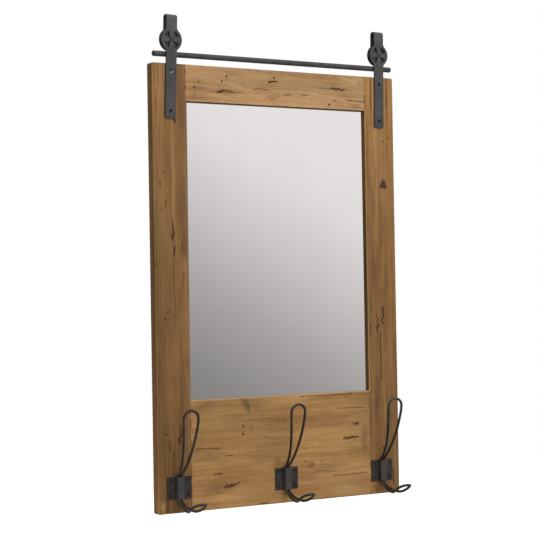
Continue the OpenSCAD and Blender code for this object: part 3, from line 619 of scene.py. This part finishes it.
BOTTOM_SCARS = [
    dot(-100, -710, 1.9), dot(-101, -726, 2.2), dot(3, -707, 1.4, 0.8), dot(-2, -708, 0.9, 0.6),
    dot(33, -710, 1.3, 0.8), dot(25, -761, 1.7, 0.9), dot(59, -765, 1.4, 0.8),
    line([(38, -764), (62, -766)], 0.5, 0.5), line([(-217, -750), (-156, -752)], 0.6, 0.75),
    crack([(-144, -768), (-125, -769)], 0.7, 0.6), crack([(-172, -805), (-155, -804)], 0.9, 0.75),
    crack([(-148, -835), (-143, -829), (-136, -832), (-131, -830), (-124, -831), (-112, -826)], 1.0),
    crack([(155, -751), (161, -748), (168, -750), (173, -748), (179, -750), (194, -749)], 1.1),
    crack([(176, -717), (186, -720), (196, -721)], 0.8, 0.85), dot(190, -722, 2.2),
    dot(197, -707, 1.0, 0.6),
    line([(47, -655), (178, -656)], 0.6, 0.6), line([(178, -656), (178, -652)], 0.8, 0.7),
    line([(142, -685), (216, -687)], 0.55, 0.6), line([(127, -829), (217, -829)], 0.6, 0.6),
    line([(80, -815), (136, -820)], 0.5, 0.45), dot(53, -794, 1.6, 0.9), dot(96, -797, 1.5, 0.8),
    crack([(62, -795), (62, -800), (65, -804), (70, -805), (75, -802), (75, -798)], 0.6, 0.75),
    dot(69, -798, 1.0, 0.7), dot(-49, -874, 1.8, 0.8), line([(-60, -874), (-40, -874)], 0.8, 0.6),
    dot(-85, -849, 1.1, 0.6), dot(-86, -670, 2.0, 0.75), dot(-70, -672, 1.5, 0.5),
    dot(-80, -716, 1.5, 0.5), dot(-200, -728, 1.0, 0.5), line([(-214, -728), (-198, -728)], 0.5, 0.4),
    line([(-50, -735), (-36, -735)], 0.6, 0.5),
    crack([(-143, -834), (-136, -834), (-130, -833), (-125, -829)], 0.8, 0.8),
    crack([(-134, -829), (-128, -827)], 0.7, 0.75), dot(193, -718, 1.2),
    crack([(160, -752), (168, -753), (174, -751), (181, -748)], 0.9, 0.85),
]
BOTTOM_PATCHES = [
    (-86, -669, 15, 20, GREYED, 0.8), (-93, -662, 10, 14, UMBER, 0.6), (-100, -655, 13, 12, BROWN, 0.7),
    (-66, -672, 16, 14, TAWNY, 0.5), (-80, -716, 7, 11, GREYED, 0.6),
    (-160, -832, 60, 17, BROWN, 0.6), (-185, -765, 45, 16, TAWNY, 0.5),
    (-52, -775, 50, 22, TAWNY, 0.5), (186, -752, 34, 12, TAWNY, 0.5),
    (186, -720, 22, 9, TAWNY, 0.5), (110, -662, 70, 9, TAWNY, 0.55),
    (212, -752, 16, 56, BROWN, 0.6), (68, -800, 20, 13, TAWNY, 0.45),
    (-190, -664, 40, 12, TAWNY, 0.6), (120, -810, 60, 10, TAWNY, 0.4),
    # the patch at x -18, z -792 is a painted shadow beside the middle hook
    (-18, -792, 16, 24, BROWN, 0.45), (60, -835, 70, 12, STRAW, 0.35),
    # the pale patch at x 170, z -858 is painted light that makes up for the lamps' fall-off low on the
    # rail
    (30, -685, 120, 12, STRAW, 0.3), (170, -858, 110, 40, PALE, 0.42),
    (-60, -858, 130, 26, STRAW, 0.35),
]

# Tones of the boards, from dark to pale
STILE_TONES = (srgb(85, 56, 31), srgb(129, 91, 51), srgb(156, 115, 66), srgb(182, 141, 85))
RAIL_TONES = (srgb(100, 72, 45), srgb(146, 111, 72), srgb(172, 137, 94), srgb(198, 166, 121))
BOTTOM_TONES = (srgb(102, 70, 38), srgb(149, 109, 64), srgb(175, 134, 83), srgb(202, 163, 108))
# Brightness at places along a board (metres), partly the board's own tone and partly painted shade
# where the light falls off: at its side of lower x or z, and at its other side
LEFT_SHADE = [(-0.88, 0.27, 0.37), (-0.80, 0.27, 0.48), (-0.40, 0.34, 0.50), (-0.30, 0.34, 0.41),
              (-0.16, 0.42, 0.43), (0.04, 0.60, 0.45)]
RIGHT_SHADE = [(-0.88, 0.56, 0.39), (-0.63, 0.39, 0.40), (-0.40, 0.39, 0.47), (-0.30, 0.40, 0.45),
               (-0.15, 0.62, 0.54), (0.04, 0.79, 0.72)]
TOP_SHADE = [(-0.23, 0.77, 0.80), (-0.10, 0.78, 0.60), (0.04, 0.78, 0.60), (0.15, 0.64, 0.62),
             (0.23, 0.63, 0.69)]
BOTTOM_SHADE = [(-0.23, 0.57, 0.54), (-0.07, 0.58, 0.51), (0.05, 0.63, 0.62), (0.13, 0.60, 0.60),
                (0.23, 0.58, 0.49)]
EVEN_SHADE = [(-0.3, 0.5, 0.5), (0.3, 0.5, 0.5)]

BOARDS = {
    "left_stile": dict(
        upright=True, seed=1.37, width=(-0.300, -0.232), tones=STILE_TONES, shade=LEFT_SHADE,
        scars=LEFT_SCARS, patches=LEFT_PATCHES),
    "right_stile": dict(
        upright=True, seed=4.11, width=(0.234, 0.298), tones=STILE_TONES, shade=RIGHT_SHADE,
        scars=RIGHT_SCARS, patches=RIGHT_PATCHES, knot=RIGHT_KNOT),
    "top_rail": dict(
        upright=False, seed=2.23, width=(-0.030, 0.030), tones=RAIL_TONES, shade=TOP_SHADE,
        scars=TOP_SCARS, pale=TOP_PALE, patches=TOP_PATCHES, wander=0.06, wave=0.006, contrast=0.85),
    "bottom_rail": dict(
        upright=False, seed=6.58, width=(-0.850, -0.680), tones=BOTTOM_TONES, shade=BOTTOM_SHADE,
        scars=BOTTOM_SCARS, patches=BOTTOM_PATCHES, wander=0.016, wave=0.0015, contrast=0.9,
        stretch=1.9),
}


def dress_wood():
    for board, look in BOARDS.items():
        dress(wood(f"{board}_wood", **look), board)
    dowels = wood("dowel_wood", upright=False, seed=8.4, width=(0.0, 0.1), tones=RAIL_TONES,
                  shade=EVEN_SHADE)
    dress(dowels, "frame_dowels")


# ---- Metal, mirror and panel ----

ZINC_TONES = [(0.25, srgb(150, 150, 152)), (0.6, srgb(188, 189, 192)), (0.85, srgb(206, 204, 196))]
SILVER_TONES = [(0.3, (0.855, 0.850, 0.852)), (0.7, (0.885, 0.878, 0.880))]
BOARD_TONES = [(0.3, srgb(84, 58, 38)), (0.5, srgb(122, 88, 58)), (0.72, srgb(158, 122, 86))]
BOARD_CLOUD = srgb(104, 74, 50)
# dusty smears, and painted shade for the sides that face left
SMEAR, SHADED = srgb(96, 94, 94), srgb(12, 11, 11)
# painted highlights: on the raised fronts of the hook plates' channels, and on the lit side of a
# screw's rim
CHANNEL_HIGHLIGHT, RIM_HIGHLIGHT = srgb(92, 88, 83), srgb(196, 192, 186)
# Painted light on the straps: a painted highlight towards their tops, and painted shade where they are
# folded
CROWN_Z, CROWN = (98.0, 122.0), srgb(112, 109, 110)
FOLD_Z, FOLD = (135.4, 137.2), srgb(38, 36, 36)
# The screw whose rim gets a painted highlight, as x and z, and the side of the rim that is lit
LEFT_STRAP_SCREW = (-260.25, 21.4)
LOWER_RIGHT = (0.5, 0, -0.87)
PEEL_DEPTH, BRUSH_DEPTH, FIBRE_DEPTH = 0.0003, 0.0002, 0.0003    # of the relief, in metres
# Dark edges of the glass, and painted shade under the top rail and along the left stile. The line at
# its left leans: it has an x at z = 0 and a slope.
GLASS_RIM = (0.42, 0.46, 0.44, 1)
UNDER_RAIL_Z, RAIL_SHADOW = (-41.1, -40.3), srgb(62, 50, 32)
LEFT_LINE_X, LEFT_LINE_SLOPE, STILE_SHADE = -220.0, 0.0032, srgb(100, 88, 72)


def paint_rim_highlight(g, at, color, cx, cz, inner, outer):
    """The colour with a painted highlight on the lower right of a ring, where light falls into a
    countersink.
    """
    away = g.vec("MULTIPLY", g.vec("SUBTRACT", at, (cx, 0, cz)), FLAT)
    distance = g.vec("LENGTH", away)
    ring = g.times(g.span(distance, inner - 0.3, inner), g.span(distance, outer + 0.2, outer))
    lower_right = g.span(g.vec("DOT_PRODUCT", g.vec("NORMALIZE", away), LOWER_RIGHT), -0.45, 0.25)
    return g.tint(color, g.times(ring, lower_right), 0.9, RIM_HIGHLIGHT)


def coated_metal(name, base, lighter, rough=0.5, bump=0.16, metallic=0.25, shine=0.45,
                 sides=0.0, crown=0.0, proud=None, lit_rim=None):
    """Dark powder coat: fine orange peel and dusty patches.

    sides: how dark the painted shade is on the sides that face left. crown: how strong the painted
    highlight is on the tops of the straps, which also get painted shade at their fold.
    proud: the y in front of which the coat gets a painted highlight, on the raised front of the hook
    plates' channels.
    The last argument: (x, z, inner, outer) of a ring with a painted highlight on its lower right.
    """
    mat, g = material(name)
    at = g.place(MM)
    _, y, z = g.split(at)
    grit = g.noise(at, 1.4, 3.0, 0.6)
    peel = g.noise(at, 0.55)
    dust = g.noise(at, 0.035, 4.0, 0.65)
    smear = g.noise(at, (0.35, 0.35, 0.02), 3.0)
    color = g.mix(g.span(dust, 0.40, 0.66), base, lighter)
    color = g.tint(color, g.span(grit, 0.55, 0.8), 0.35, lighter)
    color = g.tint(color, g.span(smear, 0.56, 0.75), 0.3, SMEAR)
    # painted shade on the sides that face left
    if sides:
        color = g.tint(color, g.span(g.normal()[0], -0.35, -0.9), sides, SHADED)
    if crown:
        # painted highlight towards the tops of the straps, and painted shade at the fold
        color = g.tint(color, g.span(z, *CROWN_Z), crown, CROWN)
        color = g.tint(color, g.span(z, *FOLD_Z), 0.5, FOLD)
    # painted highlight on the raised front of the channels
    if proud:
        color = g.tint(color, g.span(y, proud + 0.6, proud), 0.4, CHANNEL_HIGHLIGHT)
    # painted highlight on the lower right of a screw's rim
    if lit_rim:
        color = paint_rim_highlight(g, at, color, *lit_rim)
    finish(g, {
        "Base Color": color,
        "Roughness": g.plus(rough - 0.09, g.times(dust, 0.2), g.times(grit, 0.06)),
        "Normal": g.bump(g.plus(g.times(grit, 0.5), peel), bump, PEEL_DEPTH),
        "Metallic": metallic,
        "Specular IOR Level": shine,
    })
    return mat


def zinc_metal():
    mat, g = material("zinc_plated_steel")
    at = g.place(MM)
    spangle = g.node("ShaderNodeTexVoronoi", {"Vector": at, "Scale": 0.35}).outputs["Color"]
    brushed = g.noise(at, (5.0, 5.0, 0.25), 3.0)
    stain = g.noise(at, 0.06, 4.0)
    tone = g.plus(g.times(g.split(spangle)[0], 0.4), g.times(stain, 0.6))
    finish(g, {
        "Base Color": g.ramp(tone, ZINC_TONES),
        "Metallic": 1.0,
        "Roughness": g.plus(0.24, g.times(brushed, 0.25)),
        "Normal": g.bump(brushed, 0.12, BRUSH_DEPTH),
    })
    return mat


def mirror_silver():
    """Silvered glass: almost even, with the faintest haze and darker edges.

    Painted shade runs under the top rail, as its shadow, and along the left stile, where the
    photograph shows the stile's side a little further right.
    """
    mat, g = material("silvered_glass")
    at = g.place(MM)
    haze = g.noise(at, 0.006, 3.0, 0.6)
    specks = g.span(g.noise(at, 0.9, 1.0), 0.78, 0.84)
    x, _, z = g.split(at)
    from_middle = g.size(g.minus(z, OPENING_MIDDLE_Z))
    rim = g.largest(g.span(g.size(x), OPENING_HALF_WIDTH - 1.0, OPENING_HALF_WIDTH + 8.0),
                    g.span(from_middle, OPENING_HALF_HEIGHT - 0.5, OPENING_HALF_HEIGHT + 8.5))
    color = g.tint(g.ramp(haze, SILVER_TONES), rim, 0.35, GLASS_RIM)
    # painted shadow under the top rail
    color = g.tint(color, g.span(z, *UNDER_RAIL_Z), 0.94, RAIL_SHADOW)
    # painted shade along the left stile, wider towards the top
    from_line = g.minus(x, g.linear(z, LEFT_LINE_SLOPE, LEFT_LINE_X))
    color = g.tint(color, g.span(from_line, 0.3, -0.3), 0.94, STILE_SHADE)
    rough = g.plus(g.times(haze, 0.012), g.times(specks, 0.05))
    finish(g, {"Base Color": color, "Metallic": 1.0, "Roughness": rough})
    return mat


def hardboard():
    mat, g = material("pressed_board")
    at = g.place(MM)
    fibre = g.noise(at, (0.9, 0.9, 0.35), 5.0, 0.75)
    chip = g.noise(at, 0.16, 4.0, 0.7)
    cloud = g.noise(at, 0.008, 3.0)
    tone = g.plus(g.times(fibre, 0.45), g.times(chip, 0.55))
    finish(g, {
        "Base Color": g.tint(g.ramp(tone, BOARD_TONES), g.span(cloud, 0.42, 0.66), 0.3, BOARD_CLOUD),
        "Roughness": g.linear(fibre, 0.2, 0.62),
        "Normal": g.bump(tone, 0.35, FIBRE_DEPTH),
    })
    return mat


def dress_metal():
    dress(zinc_metal(), "left_keyhole_plate", "right_keyhole_plate", "keyhole_plate_screws",
          "back_panel_screws")
    strap = coated_metal("strap_coat", srgb(75, 73, 74), srgb(89, 86, 87),
                         shine=0.25, sides=0.85, crown=0.12)
    dress(strap, "right_hanger", "rail_rod", "rod_welds")
    # the left strap, with a painted highlight round its upper screw's countersink
    rim_lit_strap = coated_metal("strap_coat_rim_highlight", srgb(76, 74, 75), srgb(90, 87, 88),
                                shine=0.25, sides=0.85, crown=0.42,
                                lit_rim=(*LEFT_STRAP_SCREW, 3.2, 4.0))
    dress(rim_lit_strap, "left_hanger")
    wheel = coated_metal("wheel_coat", srgb(62, 60, 60), srgb(76, 73, 74),
                         rough=0.55, shine=0.2, sides=0.9)
    dress(wheel, "left_wheel", "right_wheel")
    hook = coated_metal("hook_coat", srgb(47, 44, 41), srgb(63, 59, 55), rough=0.46, proud=-28.0)
    dress(hook, "left_hook_plate", "middle_hook_plate", "right_hook_plate")
    screw = coated_metal("screw_coat", srgb(24, 22, 22), srgb(40, 38, 37))
    dress(screw, "right_hanger_screws", "left_hook_screws", "middle_hook_screws", "right_hook_screws")
    # the left strap's screws, with a painted highlight on one screw's rim
    rim_lit_screw = coated_metal("screw_coat_rim_highlight", srgb(24, 22, 22), srgb(40, 38, 37),
                                lit_rim=(*LEFT_STRAP_SCREW, 2.5, 3.4))
    dress(rim_lit_screw, "left_hanger_screws")
    rivet = coated_metal("rivet_coat", srgb(46, 44, 44), srgb(64, 61, 61))
    dress(rivet, "left_axle", "right_axle")


# ---- Hook wires: the CAD wires' path, drawn finely as round wire ----

WIRE_R = 0.00275                         # metres, as the hooks' places are
INSIDE = 0.995                           # keeps the drawn wire inside the CAD wire
HOOK_XS = {"left": -0.256, "middle": 0.005, "right": 0.256}
HOOK_Y, HOOK_Z = -0.019, -0.826
MIDDLE_LEAN = math.radians(0.8)
# The path in the channel, in millimetres from the middle of the plate's back: where the wire
# lies, the ends of the channel, of the wire's straight parts, and the wire's own cut ends
WIRE_X, WIRE_Y, MOUTH_Z = 3.3, -4.55, 23.0
STRAIGHT_Z, CUT_Z = 11.0, 0.5
# The upper loop: a short bend out of the channel, a stem, and a round crown.
# A spread is how far a direction turns aside, and a pull how far it holds its curve.
LOOP_RISE, LOOP_REACH, LOOP_WIDTH = 159.0, 53.0, 34.6
STEM_LEAN, STEM_SPREAD, STEM_PULL = math.radians(46), 0.09, 0.32 * LOOP_RISE - 4
CROWN_LEAN, CROWN_PULL = math.radians(6), 0.1 * LOOP_RISE
BEND_RISE, BEND_LENGTH = 2.5, 4
# The lower loop, a cradle: down to its lowest point, and up to a round tip
CRADLE_DROP, CRADLE_REACH, CRADLE_WIDTH = 43.8, 91.5, 25.4
LOW_X, LOW_Y, LOW_SPREAD = 0.34 * CRADLE_WIDTH, -0.53 * CRADLE_REACH, 0.22
TIP_SLOPE, TIP_RISE, TIP_LENGTH, TIP_IN = math.radians(25), 14.6, 0.33 * CRADLE_WIDTH, 0.43
OUTLET_PULL, LOW_PULL_BACK, LOW_PULL_ON, TIP_PULL = 7, 23.5, 14.2, 12.7
# How finely each part is drawn
BEND_STEPS, STEM_STEPS, CROWN_STEPS, DOWN_STEPS, UP_STEPS, TIP_STEPS = 5, 40, 20, 30, 26, 18
ROUND_SIDES = 24
CUT_ROUNDING = 0.18                      # of the radius


def bezier(p, t):
    s = 1 - t
    return p[0] * s ** 3 + p[1] * (3 * s * s * t) + p[2] * (3 * s * t * t) + p[3] * t ** 3


def curve_points(p, steps):
    """Points on the curve from p[0] to p[3], without the first."""
    return [bezier(p, i / steps) for i in range(1, steps + 1)]


def quarter_turn(start, out, length, steps):
    """A quarter of a loop's round end, from its side at start to its middle, out along a direction."""
    points = []
    for i in range(1, steps + 1):
        a = math.pi / 2 * i / steps
        beside = Vector((start[0] * math.cos(a), start[1], start[2]))
        points.append(beside + out * (math.sin(a) * length))
    return points


def upper_half_loop():
    """The right half of the upper loop."""
    stem_out = Vector((STEM_SPREAD, -math.sin(STEM_LEAN), math.cos(STEM_LEAN)))
    crown_out = Vector((0, -math.sin(CROWN_LEAN), math.cos(CROWN_LEAN)))
    crown_length = LOOP_WIDTH / 2
    crown_start = Vector((LOOP_WIDTH / 2, -LOOP_REACH, LOOP_RISE - crown_length * math.cos(CROWN_LEAN)))
    mouth = Vector((WIRE_X, WIRE_Y, MOUTH_Z))
    bend_mid = mouth + Vector((0, 0, BEND_RISE))
    bend_end = bend_mid + BEND_LENGTH * stem_out
    # a curve with one point of control, written as one with two
    bend = curve_points([mouth, (mouth + 2 * bend_mid) / 3, (2 * bend_mid + bend_end) / 3, bend_end],
                        BEND_STEPS)
    stem = curve_points([bend_end, bend_end + STEM_PULL * stem_out,
                         crown_start - CROWN_PULL * crown_out, crown_start], STEM_STEPS)
    return [mouth] + bend + stem + quarter_turn(crown_start, crown_out, crown_length, CROWN_STEPS)


def lower_half_loop():
    """The right half of the lower loop."""
    tip_out = Vector((0, -math.cos(TIP_SLOPE), math.sin(TIP_SLOPE)))
    tip_start = Vector((CRADLE_WIDTH / 2, TIP_LENGTH * math.cos(TIP_SLOPE) - CRADLE_REACH,
                        TIP_RISE - CRADLE_DROP))
    tip_pull = TIP_PULL * (tip_out - Vector((TIP_IN, 0, 0)))
    low = Vector((LOW_X, LOW_Y, -CRADLE_DROP))
    low_out = Vector((LOW_SPREAD, -1, 0)).normalized()
    outlet = Vector((WIRE_X, WIRE_Y, -MOUTH_Z))
    down = curve_points([outlet, outlet - Vector((0, 0, OUTLET_PULL)),
                         low - LOW_PULL_BACK * low_out, low], DOWN_STEPS)
    up = curve_points([low, low + LOW_PULL_ON * low_out, tip_start - tip_pull, tip_start], UP_STEPS)
    return [outlet] + down + up + quarter_turn(tip_start, tip_out, TIP_LENGTH, TIP_STEPS)


def smoothed(points, rounds=3):
    for _ in range(rounds):
        points = [points[0]] + [(points[i - 1] + 2 * points[i] + points[i + 1]) / 4
                                for i in range(1, len(points) - 1)] + [points[-1]]
    return points


def flip(v):
    return Vector((-v[0], v[1], v[2]))


def wire_path():
    """From cut end to cut end, round the upper and then round the lower loop, in metres."""
    upper, lower = upper_half_loop(), lower_half_loop()
    path = [Vector((-WIRE_X, WIRE_Y, CUT_Z)), Vector((-WIRE_X, WIRE_Y, STRAIGHT_Z))]
    path += [flip(v) for v in upper] + upper[-2::-1]
    path += [Vector((WIRE_X, WIRE_Y, STRAIGHT_Z)), Vector((WIRE_X, WIRE_Y, -STRAIGHT_Z))]
    path += lower + [flip(v) for v in lower[-2::-1]]
    path += [Vector((-WIRE_X, WIRE_Y, -STRAIGHT_Z)), Vector((-WIRE_X, WIRE_Y, -CUT_Z))]
    return smoothed([v / MM for v in path])


def tube(name, points, radius):
    """Round wire along the points, with slightly rounded cut ends."""
    last = len(points) - 1
    ways = [(points[min(i + 1, last)] - points[max(i - 1, 0)]).normalized() for i in range(last + 1)]
    rounding, cut_radius = radius * CUT_ROUNDING, radius * (1 - CUT_ROUNDING)
    rings = [(points[0], ways[0], cut_radius), (points[0] + ways[0] * rounding, ways[0], radius)]
    rings += [(points[i], ways[i], radius) for i in range(1, last)]
    rings += [(points[-1] - ways[-1] * rounding, ways[-1], radius), (points[-1], ways[-1], cut_radius)]
    verts, faces = [], []
    normal = Vector((1, 0, 0))
    for center, way, ring_radius in rings:
        normal = (normal - way * normal.dot(way)).normalized()
        other = way.cross(normal)
        for j in range(ROUND_SIDES):
            a = 2 * math.pi * j / ROUND_SIDES
            verts.append(center + (normal * math.cos(a) + other * math.sin(a)) * ring_radius)
    for start in range(0, len(verts) - ROUND_SIDES, ROUND_SIDES):
        for j in range(ROUND_SIDES):
            a, b = start + j, start + (j + 1) % ROUND_SIDES
            faces.append((a, b, b + ROUND_SIDES, a + ROUND_SIDES))
    faces.append(tuple(range(ROUND_SIDES - 1, -1, -1)))
    faces.append(tuple(range(len(verts) - ROUND_SIDES, len(verts))))
    mesh = bpy.data.meshes.new(name)
    mesh.from_pydata([tuple(v) for v in verts], [], faces)
    mesh.shade_smooth()
    mesh.update()
    ob = bpy.data.objects.new(name, mesh)
    bpy.context.scene.collection.objects.link(ob)
    return ob


def add_wires(mat):
    path = wire_path()
    for side, x in HOOK_XS.items():
        ob = tube(f"{side}_hook_round_wire", path, WIRE_R * INSIDE)
        lean = MIDDLE_LEAN if side == "middle" else 0.0
        ob.data.transform(Matrix.Translation((x, HOOK_Y, HOOK_Z)) @ Matrix.Rotation(-lean, 4, "Y"))
        dress(mat, ob)
        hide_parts(f"{side}_hook_wire")
        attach(ob, "frame")


# ---- Room ----

WHITE = (1, 1, 1, 1)
FLOOR_HALF, FLOOR_Z = 7.0, -1.78
FLOOR_TONES = [(0.3, grey(0.33)), (0.7, grey(0.37))]
# The room that mirror and metal see: brightness by a height that also grows with x and y
ROOM_RISE, ROOM_START = (0.5015, 0.3294, 1.0), 0.0304
ROOM_CAST = (1.03, 0.99, 0.98)
ROOM_LEVELS = [(-1.2, 0.10), (-0.12, 0.21), (-0.05, 0.27), (0.0, 0.41),
               (0.05, 0.63), (0.1, 0.83), (0.13, 0.87), (1.25, 0.95)]
# The fill comes from above, and more from the front right than from the left
FILL_FROM = (0.34, -0.30, 0.88)
FILL_LEVELS = [(0.1, grey(0.04)), (0.5, grey(0.26)), (0.95, grey(0.62))]
# Square lamps: name, place, what they point at, side, power
LAMPS = [
    ("key", (1.3, -2.7, 1.4), (0.05, 0, -0.25), 2.6, 53.0),
    ("front_fill", (-0.6, -3.4, 0.3), (0, 0, -0.4), 2.2, 16.0),
    ("low_left", (-0.64, -0.10, -1.16), (-0.305, 0, -0.8), 0.2, 2.4),
    ("back_fill", (0.5, 3.2, 0.8), (0, 0, -0.4), 2.4, 40.0),
]


def add_floor():
    mesh = bpy.data.meshes.new("floor")
    s, z = FLOOR_HALF, FLOOR_Z
    mesh.from_pydata([(-s, -s, z), (s, -s, z), (s, s, z), (-s, s, z)], [], [(0, 1, 2, 3)])
    ob = bpy.data.objects.new("floor", mesh)
    bpy.context.scene.collection.objects.link(ob)
    mat, g = material("pale_floor")
    tone = g.ramp(g.noise(g.place(), 90.0, 3.0), FLOOR_TONES)
    body = g.node("ShaderNodeBsdfDiffuse", {"Color": tone}).outputs[0]
    path = g.node("ShaderNodeLightPath").outputs
    glow = g.node("ShaderNodeEmission", {"Color": WHITE, "Strength": path["Is Camera Ray"]}).outputs[0]
    shown = g.node("ShaderNodeAddShader", {0: body, 1: glow}).outputs[0]
    # the mirror shows the room of the world, without this floor's edge in it
    through = g.node("ShaderNodeBsdfTransparent").outputs[0]
    shader = g.node("ShaderNodeMixShader", {0: path["Is Glossy Ray"], 1: shown, 2: through}).outputs[0]
    g.node("ShaderNodeOutputMaterial", {0: shader})
    ob.data.materials.append(mat)


def add_world():
    """White for the camera, soft fill for the object, and a bright-to-dim room for mirror and metal."""
    world = bpy.data.worlds.new("room")
    bpy.context.scene.world = world
    world.use_nodes = True
    world.node_tree.nodes.clear()
    g = Graph(world.node_tree)

    def background(color):
        return g.node("ShaderNodeBackground", {"Color": color, "Strength": 1.0}).outputs[0]

    way = g.node("ShaderNodeTexCoord").outputs["Generated"]
    height = g.plus(g.vec("DOT_PRODUCT", way, ROOM_RISE), ROOM_START)
    stops = [(stop, tuple(level * c for c in ROOM_CAST)) for stop, level in ROOM_LEVELS]
    room = background(g.scale(height, stops))
    lit = g.vec("DOT_PRODUCT", way, FILL_FROM)
    fill = background(g.ramp(g.linear(lit, 0.5, 0.5), FILL_LEVELS))
    path = g.node("ShaderNodeLightPath").outputs
    shader = g.node("ShaderNodeMixShader", {0: path["Is Glossy Ray"], 1: fill, 2: room}).outputs[0]
    clear = g.largest(path["Is Camera Ray"], path["Is Transmission Ray"])
    shader = g.node("ShaderNodeMixShader", {0: clear, 1: shader, 2: background(WHITE)}).outputs[0]
    g.node("ShaderNodeOutputWorld", {0: shader})


def add_lamp(name, place, target, side, power):
    data = bpy.data.lights.new(name, "AREA")
    data.shape = "SQUARE"
    data.size = side
    data.energy = power
    ob = bpy.data.objects.new(name, data)
    bpy.context.scene.collection.objects.link(ob)
    ob.location = place
    ob.rotation_euler = (Vector(target) - Vector(place)).to_track_quat("-Z", "Y").to_euler()
    ob.visible_camera = False
    ob.visible_glossy = False


def main():
    add_camera()
    add_world()
    add_floor()
    for lamp in LAMPS:
        add_lamp(*lamp)
    dress_wood()
    dress(mirror_silver(), "mirror_glass")
    dress(hardboard(), "back_panel")
    dress_metal()
    add_wires(coated_metal("wire_coat", srgb(69, 65, 61), srgb(89, 85, 79),
                           rough=0.32, bump=0.1, metallic=0.7))


main()
